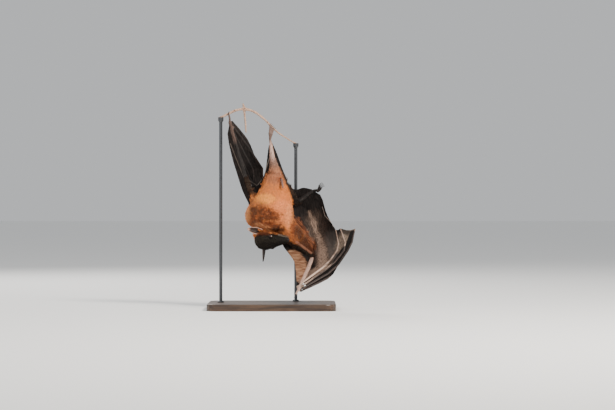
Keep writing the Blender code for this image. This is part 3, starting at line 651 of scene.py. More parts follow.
def soft_edge(tree, share, position, rough):
    """1 well inside a reach and 0 outside it, with a ragged cloudy border in between."""
    cloud = node(tree, "TexNoise", None, Vector=position, Scale=CLOUD_SCALE, Detail=3.0).outputs[0]
    ragged = times(tree, combined(tree, cloud, 0.5, "SUBTRACT"), rough)
    return ramp(tree, combined(tree, share, ragged, "ADD"), 0.35, 1.0, 1.0, 0.0)


patch_tree, given, result = group(
    "soft_patch",
    {"Position": "Vector", "Centre": "Vector", "Reach": "Vector", "Rough Edge": "Float"},
    "Mask", "Float",
)
away = vectors(patch_tree, "SUBTRACT", given["Position"], given["Centre"]).outputs[0]
share = vectors(patch_tree, "DIVIDE", away, given["Reach"]).outputs[0]
length = node(patch_tree, "VectorMath", {"operation": "LENGTH"}, i0=share).outputs["Value"]
patch_tree.links.new(soft_edge(patch_tree, length, given["Position"], given["Rough Edge"]), result[0])

line_tree, given, result = group(
    "soft_line",
    {"Position": "Vector", "Start": "Vector", "Run": "Vector", "Reach": "Float", "Rough Edge": "Float"},
    "Mask", "Float",
)
in_front_view = vectors(line_tree, "MULTIPLY", given["Position"], (1, 0, 1)).outputs[0]
from_start = vectors(line_tree, "SUBTRACT", in_front_view, given["Start"]).outputs[0]
shadow = vectors(line_tree, "DOT_PRODUCT", from_start, given["Run"]).outputs["Value"]
square = vectors(line_tree, "DOT_PRODUCT", given["Run"], given["Run"]).outputs["Value"]
part = node(line_tree, "Math", {"operation": "DIVIDE", "use_clamp": True}, i0=shadow, i1=square).outputs[0]
foot_point = node(line_tree, "VectorMath", {"operation": "SCALE"}, i0=given["Run"], Scale=part).outputs[0]
off_line = vectors(line_tree, "DISTANCE", from_start, foot_point).outputs["Value"]
share = combined(line_tree, off_line, given["Reach"], "DIVIDE")
line_tree.links.new(soft_edge(line_tree, share, given["Position"], given["Rough Edge"]), result[0])

streak_tree, given, result = group(
    "streaks",
    {"Position": "Vector", "Turn": "Vector", "Stretch": "Vector", "Scale": "Float"},
    "Value", "Float",
)
by_angles = {"rotation_type": "EULER_XYZ"}
turned = node(streak_tree, "VectorRotate", by_angles, Vector=given["Position"], Rotation=given["Turn"])
drawn = vectors(streak_tree, "MULTIPLY", turned.outputs[0], given["Stretch"]).outputs[0]
fibre = node(streak_tree, "TexNoise", None, Vector=drawn, Scale=given["Scale"], Detail=4.0, Roughness=0.6)
streak_tree.links.new(fibre.outputs[0], result[0])
print("groups", [tree.name for tree in bpy.data.node_groups])

# %% Placing a group


def placed(tree, effect, position, *values):
    """One of the groups, with the values of the inputs that come after its position."""
    made = tree.nodes.new("ShaderNodeGroup")
    made.node_tree = effect
    tree.links.new(position, made.inputs[0])
    for number, value in enumerate(values, 1):
        made.inputs[number].default_value = value
    return made.outputs[0]


def patch(tree, position, centre, reach, rough):
    """1 around a centre and 0 outside its reach, both in mm."""
    return placed(tree, patch_tree, position, [c * MM for c in centre], [r * MM for r in reach], rough)


def line(tree, position, start, end, reach, rough):
    """1 along a line between two points of the front view, given as x and z in mm, and 0 off it."""
    run = ((end[0] - start[0]) * MM, 0, (end[1] - start[1]) * MM)
    return placed(tree, line_tree, position, (start[0] * MM, 0, start[1] * MM), run, reach * MM, rough)


def streaks(tree, position, turn, stretch, scale):
    """Fibres, turned in degrees; they run longest along the axis with the smallest stretch."""
    return placed(tree, streak_tree, position, [math.radians(a) for a in turn], stretch, scale)


def paint_patch(tree, position, under, centre, reach, tint, strength, rough):
    """A tint laid over the colour under it, as a patch."""
    return mixed(tree, times(tree, patch(tree, position, centre, reach, rough), strength), under, tint)


def paint_line(tree, position, under, start, end, reach, tint, strength, rough):
    """A tint laid over the colour under it, along a line of the front view."""
    return mixed(tree, times(tree, line(tree, position, start, end, reach, rough), strength), under, tint)


print("patches, lines and streaks can be placed")

# %% A new material


def material(name, roughness):
    """A material with its Principled shader and the model's own coordinates."""
    made = bpy.data.materials.new(name)
    made.use_nodes = True
    shader = made.node_tree.nodes["Principled BSDF"]
    shader.inputs["Roughness"].default_value = roughness
    place = made.node_tree.nodes.new("ShaderNodeTexCoord").outputs["Object"]
    return made, made.node_tree, shader, place


def bump(tree, shader, height, strength, distance):
    """Relief from a height, up to a distance in metres."""
    made = node(tree, "Bump", None, Height=height, Strength=strength, Distance=distance)
    tree.links.new(made.outputs[0], shader.inputs["Normal"])


def attribute(tree, name):
    """A mask that is stored on the mesh."""
    return node(tree, "Attribute", {"attribute_name": name}).outputs["Fac"]


print("materials can be made")

# %% [markdown]
# ## The markings of the coat
# An Indian flying fox has a belly from gold to rust, a tawny mantle on the nape, a black-brown
# back and a black-brown face with a grizzled edge along the jaw. Light and shade are painted in
# with them: the half of the head that faces down is painted black, partly as shade; the jaw's
# grizzled edge is painted paler, as a highlight; a painted shadow lies in the groove under the
# right upper arm, and a painted highlight runs along that arm. The markings and this painted
# light are one shader group, so that the skin and every tuft over it read the same colours at the
# same place.

# %% Where the markings lie
GOLD = srgb("ee8c40")
PALE_GOLD = srgb("ffac4c")
RUST = srgb("8f431c")
DEEP_RUST = srgb("552609")
UMBER = srgb("2a160c")
SOOT = srgb("110c09")
# Grizzled fur as it looks where light falls on it: a painted highlight colour.
LIT_GRIZZLE = srgb("a39280")

MARKINGS = [
    # centre, reach, colour, strength, ragged edge
    ((8, -30, 356), (50, 70, 30), srgb("a56a50"), 0.7, 0.9),
    ((26, -24, 262), (34, 60, 60), srgb("f49558"), 0.75, 0.6),
    ((30, -30, 316), (26, 60, 30), GOLD, 0.6, 0.9),
    ((-16, -34, 298), (40, 60, 20), PALE_GOLD, 0.9, 1.2),
    ((-32, -30, 256), (44, 60, 38), RUST, 0.8, 1.1),
    ((-44, -36, 264), (34, 60, 18), DEEP_RUST, 0.6, 2.4),
    ((2, -38, 254), (30, 60, 22), RUST, 0.8, 1.7),
    ((-10, -40, 244), (40, 60, 20), DEEP_RUST, 0.6, 2.4),
    ((-56, -24, 236), (26, 60, 26), RUST, 0.7, 1.8),
    ((-10, -36, 224), (56, 60, 20), RUST, 0.95, 1.2),
    ((14, -36, 213), (36, 60, 15), DEEP_RUST, 0.85, 1.6),
    ((-40, -36, 236), (20, 60, 10), DEEP_RUST, 0.6, 1.8),
    ((-66, -14, 252), (12, 60, 34), srgb("eb9c5c"), 0.8, 1.5),
    ((46, -30, 244), (14, 60, 52), srgb("ffa768"), 0.75, 0.8),
    ((46, -26, 206), (14, 60, 26), GOLD, 0.5, 1.0),
    ((64, -14, 216), (22, 60, 34), RUST, 0.9, 1.3),
    ((72, -10, 206), (18, 60, 30), DEEP_RUST, 0.85, 1.6),
    ((-66, 30, 334), (28, 60, 38), UMBER, 0.94, 0.8),
    ((22, -34, 350), (15, 50, 9), RUST, 0.7, 1.0),
]
MARKING_AND_LIGHT_LINES = [
    # start and end in the front view, reach, colour, strength, ragged edge
    ((28, 384), (46, 342), 12, SOOT, 0.97, 0.4),
    ((46, 342), (60, 304), 11, SOOT, 0.97, 0.4),
    ((60, 304), (66, 270), 7, SOOT, 0.95, 0.4),
    ((-12, 384), (-26, 352), 6, UMBER, 0.85, 0.5),
    # Painted shadow: a black line in the groove between the right upper arm and the membrane under it.
    ((44, 176), (106, 146), 13, SOOT, 0.95, 0.9),
    ((38, 206), (62, 182), 8, srgb("b8683a"), 0.6, 1.3),
    ((-40, 228), (-4, 217), 9, srgb("d98f5c"), 0.7, 1.3),
    # Painted highlight: a pinkish line along the top of the right upper arm.
    ((66, 182), (106, 152), 4.5, srgb("b87c60"), 0.85, 1.0),
]
print(len(MARKINGS) + len(MARKING_AND_LIGHT_LINES), "soft markings on belly, arms and throat")

# %% Belly, arms, thigh and back
markings_and_light_tree, given, result = group("coat_markings_and_light", {"Position": "Vector"}, "Color", "Color")
spot = given["Position"]
axes = node(markings_and_light_tree, "SeparateXYZ", None, Vector=spot).outputs
hairs = ramp(markings_and_light_tree, streaks(markings_and_light_tree, spot, (0, 0, 0), (1, 1, 0.35), 260), 0.3, 0.7)
colour = mixed(markings_and_light_tree, hairs, GOLD, srgb("c97b48"))
for marking in MARKINGS:
    colour = paint_patch(markings_and_light_tree, spot, colour, *marking)
up_the_leg = ramp(markings_and_light_tree, axes[Z], 350 * MM, 398 * MM)
colour = mixed(markings_and_light_tree, up_the_leg, colour, srgb("a07b6a"))
to_the_elbow = vectors(markings_and_light_tree, "DOT_PRODUCT", spot, (0.7, 0, -0.71)).outputs["Value"]
down_the_arm = ramp(markings_and_light_tree, to_the_elbow, -106 * MM, -66 * MM)
colour = mixed(markings_and_light_tree, times(markings_and_light_tree, down_the_arm, 0.94), colour, srgb("4e2616"))
for marking in MARKING_AND_LIGHT_LINES:
    colour = paint_line(markings_and_light_tree, spot, colour, *marking)
beside = ramp(markings_and_light_tree, axes[X], 57 * MM, 62 * MM)
thigh = times(markings_and_light_tree, beside, ramp(markings_and_light_tree, axes[Z], 236 * MM, 268 * MM))
colour = mixed(markings_and_light_tree, thigh, colour, SOOT)
tufty = streaks(markings_and_light_tree, spot, (0, 0, 0), (1, 1, 0.4), 130)
edge_height = combined(markings_and_light_tree, axes[Z], times(markings_and_light_tree, tufty, 0.07), "ADD")
mantle = ramp(markings_and_light_tree, edge_height, 252 * MM, 300 * MM, 1, 0)
back = mixed(markings_and_light_tree, mantle, UMBER, srgb("b9703c"))
behind = ramp(markings_and_light_tree, axes[Y], 6 * MM, 24 * MM)
colour = mixed(markings_and_light_tree, behind, colour, back)
print("body painted")

# %% Face, cheek and jaw
muzzle = patch(markings_and_light_tree, spot, (24, -40, 184), (37, 27, 27), 0.5)
crown = patch(markings_and_light_tree, spot, (-14, -38, 180), (44, 36, 30), 0.9)
face = combined(markings_and_light_tree, muzzle, crown, "MAXIMUM")
# The half of the head on the crown's side faces down as the animal hangs, and is painted black: partly its
# own black-brown fur, partly painted shade.
to_crown = vectors(markings_and_light_tree, "DOT_PRODUCT", spot, tuple(CROWN)).outputs["Value"]
mid_head = HEAD_CENTRE @ CROWN
shaded_crown_side = ramp(markings_and_light_tree, to_crown, mid_head - 4 * MM, mid_head + 4 * MM)
head_ball = patch(markings_and_light_tree, spot, (-2, -36, 180), (74, 70, 46), 0.3)
shaded_crown_side = times(markings_and_light_tree, shaded_crown_side, ramp(markings_and_light_tree, head_ball, 0.0, 0.25))
face = combined(markings_and_light_tree, face, shaded_crown_side, "MAXIMUM")
colour = mixed(markings_and_light_tree, ramp(markings_and_light_tree, face, 0.0, 0.6), colour, SOOT)
colour = paint_patch(markings_and_light_tree, spot, colour, (-26, -38, 205), (32, 30, 10), srgb("6e3417"), 0.85, 2.0)
# A pale line along the jaw, on the front: grizzled fur, painted lighter as a highlight where light falls on
# it from above.
jaw = line(markings_and_light_tree, spot, (20, 201), (44, 196), 4, 1.6)
jaw = times(markings_and_light_tree, jaw, ramp(markings_and_light_tree, axes[Y], -6 * MM, -16 * MM))
colour = mixed(markings_and_light_tree, times(markings_and_light_tree, jaw, 0.45), colour, LIT_GRIZZLE)
markings_and_light_tree.links.new(colour, result[0])
print("face painted; the group has", len(markings_and_light_tree.nodes), "nodes")

# %% [markdown]
# ## The skin's material
# Four kinds of skin share one surface: the skin under the fur takes the coat's own markings, a
# little darker; the wing membrane is near black, with tan, finely fibred patches painted where
# light falls on it; the finger bones and forearms are pinkish on the lit right wing and a darker
# copy, painted shade, on the left; and the bare left leg is pale, the right one painted dark as
# shade. The soft masks blend the four without an edge.

# %% Skin under the fur
skin_paint, tree, shader, place = material("bat_skin", 0.55)
fur_skin = mixed(tree, 1.0, placed(tree, markings_and_light_tree, place), (0.55, 0.5, 0.45, 1), "MULTIPLY")
fur_skin = mixed(tree, ramp(tree, attribute(tree, "lips"), 0.1, 0.7), fur_skin, srgb("0b0807"))
skin_axes = node(tree, "SeparateXYZ", None, Vector=place).outputs
print("skin under the fur")

# %% [markdown]
# Wing membrane is thin enough to show its fibres. Where light falls on it, it is painted tan, as
# lit membrane; elsewhere it keeps its own black, and along the upper arm short fur spreads over
# it as fine streaks.

# %% Wing membrane
fibres = streaks(tree, place, (0, 17, 0), (9, 3, 0.9), 60)
threads = streaks(tree, place, (0, 17, 0), (22, 5, 1.2), 60)
across = streaks(tree, place, (0, 0, 0), (0.6, 0.6, 7), 70)
fur_streaks = streaks(tree, place, (0, 45, 0), (9, 3, 0.9), 60)
folded = mixed(tree, ramp(tree, fibres, 0.42, 0.75), srgb("0f0c0b"), srgb("2a2422"))
# Lit membrane: the near-black skin painted tan, as where light falls on it.
sunlit_web = mixed(tree, ramp(tree, threads, 0.38, 0.62), srgb("33271f"), srgb("9a8070"))
arm_web = mixed(tree, ramp(tree, across, 0.35, 0.65), srgb("553525"), srgb("8f6b52"))
finger_web = mixed(tree, ramp(tree, threads, 0.3, 0.7), srgb("2b2421"), srgb("857364"))
arm_fringe = mixed(tree, ramp(tree, fur_streaks, 0.35, 0.65), srgb("331b11"), srgb("8a5134"))
# Lines of painted light on the membrane: tan fibred patches where light falls on it, and one greyer patch.
SUNLIT_WEB_LINES = [
    # start and end in the front view, reach, colour, strength, ragged edge
    ((116, 236), (140, 140), 40, sunlit_web, 0.24, 0.5),
    ((100, 262), (118, 216), 7, sunlit_web, 0.5, 1.4),
    ((112, 236), (130, 182), 10, sunlit_web, 0.7, 1.3),
    ((96, 214), (122, 150), 5, sunlit_web, 0.4, 1.6),
    ((128, 190), (134, 150), 15, sunlit_web, 0.72, 1.1),
    ((134, 162), (136, 128), 20, sunlit_web, 0.85, 0.8),
    ((78, 84), (142, 120), 12, sunlit_web, 0.85, 0.8),
    ((158, 196), (166, 150), 22, srgb("4d4642"), 0.5, 0.2),
]
FINGERS_AND_FRINGE = [
    ((186, 168), (206, 214), 24, finger_web, 0.85, 0.5),
    ((184, 216), (204, 208), 12, srgb("120f0e"), 0.8, 0.4),
    ((66, 238), (112, 168), 14, arm_fringe, 0.85, 1.3),
]
web_colour = folded
for stretch in SUNLIT_WEB_LINES:
    web_colour = paint_line(tree, place, web_colour, *stretch)
before_the_arm = patch(tree, place, (58, -60, 118), (44, 100, 66), 0.3)
web_colour = mixed(tree, ramp(tree, before_the_arm, 0.0, 0.35), web_colour, arm_web)
for stretch in FINGERS_AND_FRINGE:
    web_colour = paint_line(tree, place, web_colour, *stretch)
# The count is of the lines of painted light and of the finger and fringe lines.
print(len(SUNLIT_WEB_LINES) + len(FINGERS_AND_FRINGE), "stretches of membrane")

# %% [markdown]
# The bones of the right wing and the left leg are pale and pinkish, as they look in the light; the
# folded left wing and the right leg get a darker copy of the same skin, painted shade, and the lower
# edge of the right wing is painted dark as it lies in shade.

# %% Bones, legs and ears
bone_grain = streaks(tree, place, (0, 0, 0), (1, 1, 1), 90)
bone_colour = mixed(tree, ramp(tree, bone_grain, 0.3, 0.7), srgb("6e5a4e"), srgb("a58d7d"))
bare_grain = streaks(tree, place, (0, 0, 0), (4, 4, 1), 160)
bare_colour = mixed(tree, ramp(tree, bare_grain, 0.35, 0.65), srgb("8a6e62"), srgb("c2a090"))
# A darker copy of bone and bare skin, painted shade: for the folded left wing, the right leg and the lower
# edge of the right wing.
shaded_skin = mixed(tree, ramp(tree, fibres, 0.35, 0.7), srgb("100d0c"), srgb("2c2522"))
bone_colour = mixed(tree, ramp(tree, skin_axes[X], -10 * MM, -22 * MM), bone_colour, shaded_skin)

UNDER_EDGE = [
    # start and end in the front view, reach
    ((70, 44), (120, 78), 12),
    ((120, 78), (166, 110), 17),
    ((166, 110), (200, 160), 17),
    ((200, 160), (218, 204), 11),
]
under_edge = line(tree, place, *UNDER_EDGE[0], 0.2)
for stretch in UNDER_EDGE[1:]:
    under_edge = combined(tree, under_edge, line(tree, place, *stretch, 0.2), "MAXIMUM")
under_edge = ramp(tree, under_edge, 0.05, 0.4)
web_colour = mixed(tree, under_edge, web_colour, srgb("0f0c0b"))
bone_colour = mixed(tree, under_edge, bone_colour, shaded_skin)

below_ankle = ramp(tree, skin_axes[Z], 420 * MM, 386 * MM)
shin = times(tree, below_ankle, ramp(tree, skin_axes[Z], 320 * MM, 340 * MM))
bare_colour = mixed(tree, shin, bare_colour, srgb("8e6a5b"))
right_leg_zone = patch(tree, place, (108, 0, 316), (66, 90, 66), 0.2)
bare_colour = mixed(tree, ramp(tree, right_leg_zone, 0.0, 0.15), bare_colour, shaded_skin)
left_wing_zone = ramp(tree, skin_axes[X], -40 * MM, -58 * MM)
bare_colour = mixed(tree, left_wing_zone, bare_colour, shaded_skin)
bare_colour = paint_line(tree, place, bare_colour, (-54, 292), (-69, 330), 4, srgb("cfa890"), 0.8, 0.8)
left_foot_zone = ramp(tree, skin_axes[Z], 440 * MM, 462 * MM)
bare_colour = mixed(tree, times(tree, left_foot_zone, 0.85), bare_colour, srgb("55423a"))
# A darker patch at the groin: painted shade in the hollow there.
bare_colour = paint_patch(tree, place, bare_colour, (28, -28, 338), (16, 40, 26), srgb("6b5046"), 0.8, 0.6)

# The inside of each ear is darker: dark skin and painted shade. The rim is pale on the higher left ear and
# painted near black, as shade, on the lower right ear.
head_skin = mixed(tree, attribute(tree, "ear_inside"), srgb("3d261b"), srgb("2b1b14"))
rim_colour_and_shade = mixed(tree, ramp(tree, skin_axes[Z], 176 * MM, 196 * MM), srgb("1d1512"), srgb("b8917d"))
head_skin = mixed(tree, attribute(tree, "ear_rim"), head_skin, rim_colour_and_shade)
head_zone = patch(tree, place, (-20, -30, 184), (90, 80, 80), 0.0)
bare_colour = mixed(tree, ramp(tree, head_zone, 0.0, 0.1), bare_colour, head_skin)
print("bones, legs and ears")

# %% Join the four kinds of skin
HEMS = [
    # start and end in the front view, reach, strength
    ((136, 276), (143, 252), 1.4, 0.6),
    ((143, 252), (166, 228), 1.4, 0.6),
    ((168, 226), (194, 223), 5.5, 0.7),
    ((-112, 446), (-78, 358), 1.4, 0.15),
    ((-78, 358), (-42, 334), 1.6, 0.15),
    ((-42, 334), (-22, 360), 1.6, 0.2),
    ((-22, 360), (-8, 404), 1.4, 0.3),
]
HEM_COLOUR = srgb("a6978c")
membrane = attribute(tree, "membrane")
bone = attribute(tree, "bone")
colour = mixed(tree, ramp(tree, attribute(tree, "furry"), 0.15, 0.7), bare_colour, fur_skin)
colour = mixed(tree, ramp(tree, membrane, 0.25, 0.75), colour, web_colour)
colour = mixed(tree, ramp(tree, bone, 0.3, 0.75), colour, bone_colour)
for start, end, reach, strength in HEMS:
    on_web = times(tree, membrane, strength)
    colour = paint_line(tree, place, colour, start, end, reach, HEM_COLOUR, on_web, 0.8)
# A pale pinkish line along the finger bones by the right wrist: pale bone, with a painted highlight along
# its top.
pale_bone_and_highlight = times(tree, line(tree, place, (78, 76), (150, 122), 3.5, 0.4), bone)
colour = mixed(tree, times(tree, pale_bone_and_highlight, 0.8), colour, srgb("d9b8a2"))
tree.links.new(colour, shader.inputs["Base Color"])
dull = ramp(tree, membrane, 0.2, 0.7)
tree.links.new(ramp(tree, dull, 0.0, 1.0, 0.28, 0.1), shader.inputs["Specular IOR Level"])
tree.links.new(ramp(tree, dull, 0.0, 1.0, 0.55, 0.78), shader.inputs["Roughness"])
wrinkles = node(tree, "TexNoise", None, Vector=place, Scale=900.0, Detail=5.0).outputs[0]
relief = combined(tree, times(tree, fibres, 0.7), times(tree, wrinkles, 0.3), "ADD")
bump(tree, shader, relief, 0.5, 0.0012)
put("bat_skin", skin_mesh, *FLESH, slot="coat", material=skin_paint)
print("skin stands for", len(FLESH), "solids")

# %% [markdown]
# ## Eyes
# A fruit bat has large forward-looking eyes, nearly as dark as its face, with a brown iris that
# only a bright light shows. Each is a smooth ball with a bulging cornea; pupil and iris are rings
# of colour around the line of sight. The lids are a separate rim of dark skin that holds the ball.

# %% Materials of eyeball and lids
eye_paint, tree, shader, place = material("eye", 0.04)
shader.inputs["Coat Weight"].default_value = 1.0
shader.inputs["Coat Roughness"].default_value = 0.02
sight_angle = node(tree, "Attribute", {"attribute_name": "sight"}).outputs["Vector"]
off_axis = node(tree, "SeparateXYZ", None, Vector=sight_angle).outputs[0]
rays = node(tree, "TexNoise", None, Vector=place, Scale=2600.0, Detail=2.0)
iris = mixed(tree, rays.outputs[0], srgb("2a1408"), srgb("5c3214"))
colour = mixed(tree, ramp(tree, off_axis, 0.40, 0.46), srgb("050404"), iris)
colour = mixed(tree, ramp(tree, off_axis, 0.78, 0.86), colour, srgb("120a07"))
tree.links.new(colour, shader.inputs["Base Color"])

lid_paint, tree, shader, place = material("eyelid", 0.75)
shader.inputs["Specular IOR Level"].default_value = 0.2
folds = node(tree, "TexNoise", None, Vector=place, Scale=1500.0, Detail=3.0)
tree.links.new(mixed(tree, folds.outputs[0], srgb("0c0908"), srgb("231a16")), shader.inputs["Base Color"])
bump(tree, shader, folds.outputs[0], 0.4, 0.0005)
print("eye materials ready")

# %% [markdown]
# The ball is a unit sphere that is turned to the line of sight and swollen a little in front. It
# remembers each corner's angle off that line, so that the rings of pupil and iris follow the gaze.

# %% Eyeball
BALL_SHARE = 0.97
CORNEA_BULGE = 0.07


def frame_around(axis):
    """An axis of length one, and two directions square to it and to each other."""
    axis = axis / np.linalg.norm(axis)
    first = np.cross(axis, (0.3, 0.1, 0.9))
    first /= np.linalg.norm(first)
    return axis, first, np.cross(axis, first)


def eyeball(name, centre, radius, sight, across, upward):
    """A ball around a centre, with its cornea towards the line of sight."""
    bm = bmesh.new()
    bmesh.ops.create_uvsphere(bm, u_segments=40, v_segments=28, radius=1)
    rows = np.array([v.co for v in bm.verts])
    bulge = 1 + CORNEA_BULGE * step(rows[:, Z], 0.72, 1.0)
    turned_rows = rows[:, [X]] * across + rows[:, [Y]] * upward + rows[:, [Z]] * sight
    for v, point in zip(bm.verts, centre + radius * turned_rows * bulge[:, None]):
        v.co = point
    ball = bpy.data.meshes.new(name)
    bm.to_mesh(ball)
    bm.free()
    angles = np.zeros((len(rows), 3), dtype=np.float32)
    angles[:, 0] = np.arccos(np.clip(rows[:, Z], -1, 1))
    layer = ball.attributes.new("sight", "FLOAT_VECTOR", "POINT")
    layer.data.foreach_set("vector", angles.ravel())
    ball.shade_smooth()
    return ball


print("eyeball fills", BALL_SHARE, "of its solid")

# %% [markdown]
# The lids are one almond-shaped rim, made as a ring of cross-sections around the opening. Each
# cross-section rises from the ball, runs outwards over it and sinks back into the face.

# %% Lids
LID_SECTIONS = 48
OPENING = 38
CORNER_OPENING = 15
LID_PROFILE = [
    # degrees out from the edge of the opening, distance from the centre in radii of the ball
    (0, 0.99), (-1.5, 1.03), (3, 1.08), (13, 1.08), (24, 1.04), (36, 1.05), (50, 0.98), (50, 0.88),
]


def lids(name, centre, radius, sight):
    """A closed rim around the opening of one eye, longest towards the nose."""
    long_way = FORWARD - (FORWARD @ sight) * sight
    long_way /= np.linalg.norm(long_way)
    short_way = np.cross(sight, long_way)
    bm = bmesh.new()
    rings = []
    for k in range(LID_SECTIONS):
        around = 2 * math.pi * k / LID_SECTIONS
        out = long_way * math.cos(around) + short_way * math.sin(around)
        opening = OPENING + CORNER_OPENING * abs(math.cos(around)) ** 1.5
        ring = []
        for degrees, far_out in LID_PROFILE:
            angle = math.radians(opening + degrees)
            direction = sight * math.cos(angle) + out * math.sin(angle)
            ring.append(bm.verts.new(centre + radius * far_out * direction))
        rings.append(ring)
    for k, near in enumerate(rings):
        far = rings[(k + 1) % LID_SECTIONS]
        for m in range(len(LID_PROFILE)):
            after = (m + 1) % len(LID_PROFILE)
            bm.faces.new((near[m], far[m], far[after], near[after]))
    bmesh.ops.recalc_face_normals(bm, faces=bm.faces)
    rim = bpy.data.meshes.new(name)
    bm.to_mesh(rim)
    bm.free()
    rim.shade_smooth()
    return rim


print("lids of", LID_SECTIONS, "sections")

# %% Set both eyes in the head
for side, sign in (("left", 1), ("right", -1)):
    low_corner, high_corner = (np.array(c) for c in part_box(f"{side}_eye"))
    centre = (low_corner + high_corner) / 2
    radius = (high_corner - low_corner).min() / 2 * BALL_SHARE
    sight, across, upward = frame_around(LEFTWARD * sign * 0.86 + FORWARD * 0.38 + CROWN * 0.30)
    ball = eyeball(f"{side}_eyeball", centre, radius, sight, across, upward)
    put(f"{side}_eyeball", ball, f"{side}_eye", slot="eye", material=eye_paint)
    rim = lids(f"{side}_lids", centre, radius, sight)
    put(f"{side}_lids", rim, slot="dark_coat", material=lid_paint)
print("eyeballs", round(radius / MM * 2, 1), "mm across")

# %% [markdown]
# ## Nose and claws
# Nose pad and claws are already right in outline, only faceted. Two levels of subdivision round
# them off. The claws are horn: dark, glossy, with fine lines along their length. The nose pad is
# damp skin, with a nostril pressed in on each side.

# %% Horn and nose materials
horn_paint, tree, shader, place = material("horn", 0.38)
shader.inputs["Specular IOR Level"].default_value = 0.3
horn_lines = streaks(tree, place, (0, 0, 0), (1, 1, 1), 700)
tree.links.new(mixed(tree, horn_lines, srgb("0d0b0b"), srgb("2c2523")), shader.inputs["Base Color"])
bump(tree, shader, horn_lines, 0.2, 0.0003)

nose_paint, tree, shader, place = material("nose_pad", 0.38)
shader.inputs["Specular IOR Level"].default_value = 0.35
pebble = node(tree, "TexVoronoi", None, Vector=place, Scale=2200.0)
tree.links.new(mixed(tree, pebble.outputs[0], srgb("120e0c"), srgb("322925")), shader.inputs["Base Color"])
bump(tree, shader, pebble.outputs[0], 0.5, 0.0003)
print("horn and nose materials ready")

# %% [markdown]
# The skin is now a little thinner than the solids, which leaves the claws standing off their toes.
# So the root of each claw is drawn out until it sits inside the toe, and the point stays.

# %% Round off a solid, and root a claw in its toe
ROUNDING_LEVELS = 2
ROOT_BAND = 1.2 * MM
ROOT_SINK = 1.1 * MM

skin_copy = bmesh.new()
skin_copy.from_mesh(skin_mesh)
skin_tree = BVHTree.FromBMesh(skin_copy)
skin_copy.free()


def rooted(points):
    """Draws the root of a claw out until it sits inside the toe or thumb that bears it."""
    gaps = np.array([skin_tree.find_nearest(Vector(p))[3] for p in points])
    root = points[gaps < gaps.min() + ROOT_BAND].mean(axis=0)
    place, normal, _, _ = skin_tree.find_nearest(Vector(root))
    shift = np.array(place - normal * ROOT_SINK) - root
    share = 1 - step(np.linalg.norm(points - root, axis=1), 0.9 * MM, 5.5 * MM)
    return points + share[:, None] * shift


def rounded(name, sources, material_used, slot):
    """One or more solids, joined and rounded off, in place of their faceted selves."""
    bm = bmesh.new()
    for source in sources:
        one = nodes[source].data.copy()
        if "claw" in source:
            set_corners(one, rooted(corners(one)))
        bm.from_mesh(one)
        bpy.data.meshes.remove(one)
    bmesh.ops.remove_doubles(bm, verts=bm.verts, dist=WELD)
    mesh = bpy.data.meshes.new(name)
    bm.to_mesh(mesh)
    bm.free()
    faceted = bpy.data.objects.new("faceted", mesh)
    scene.collection.objects.link(faceted)
    smoother = faceted.modifiers.new("round", "SUBSURF")
    smoother.levels = ROUNDING_LEVELS
    done = evaluated(faceted)
    bpy.data.objects.remove(faceted)
    done.name = name
    done.shade_smooth()
    return put(name, done, *sources, slot=slot, material=material_used)


claws = [n for n in nodes if "claw" in n]
rounded("claws", claws, horn_paint, "horn")
print(len(claws), "claws")

# %% Nose pad with its nostrils
NOSTRIL_PLACE = (2.6, 3.3)
NOSTRIL_PRESS = (1.1, 0.9)

nose = rounded("nose_pad", ["nose"], nose_paint, "horn")
co = corners(nose.data)
middle = co.mean(axis=0)
for sign in (1, -1):
    nostril = middle + (FORWARD * NOSTRIL_PLACE[0] + LEFTWARD * sign * NOSTRIL_PLACE[1]) * MM
    near = 1 - step(np.linalg.norm(co - nostril, axis=1), 0.3 * MM, 1.9 * MM)
    co -= near[:, None] * (FORWARD * NOSTRIL_PRESS[0] + LEFTWARD * sign * NOSTRIL_PRESS[1]) * MM
set_corners(nose.data, co)
print("nose pad", len(co), "corners")

# %% [markdown]
# ## Twig
# The perch is a young twig with smooth tan bark, small knots where leaves have dropped, and a side
# twig. The solid gives its run; subdivision rounds it and the bark's bump gives rings and pores.

# %% Bark
bark_paint, tree, shader, place = material("bark", 0.7)
grain = streaks(tree, place, (0, 0, 0), (1, 5, 5), 110)
bark_rings = streaks(tree, place, (0, 35, 0), (12, 2, 2), 60)
colour = mixed(tree, ramp(tree, grain, 0.35, 0.65), srgb("8a6a58"), srgb("c4a189"))
knots = node(tree, "TexVoronoi", None, Vector=place, Scale=95.0)
colour = mixed(tree, ramp(tree, knots.outputs[0], 0.25, 0.12), colour, srgb("6b4f3f"))
colour = mixed(tree, ramp(tree, bark_rings, 0.6, 0.72, 0.0, 0.6), colour, srgb("8a6a55"))
tree.links.new(colour, shader.inputs["Base Color"])
bump(tree, shader, combined(tree, grain, bark_rings, "ADD"), 0.6, 0.0008)
print("bark ready")

# %% A twig with slow swellings and small knots
twig = rounded("twig", ["perch_twig"], bark_paint, "bark")
co = corners(twig.data)
x, z = co[:, X], co[:, Z]
knobbly = 0.25 * np.sin(x * 210) * np.sin(z * 170 + 1.0) + 0.18 * np.sin(x * 900 + z * 700)
set_corners(twig.data, co + corner_normals(twig.data) * (knobbly * MM)[:, None])
print("twig", len(twig.data.polygons), "faces")

# %% [markdown]
# ## Stand
# Base and rods keep their solids: they are machined, and their outlines are exact. Only the
# materials change, to a dark oiled board with its grain along the length, and blackened steel.

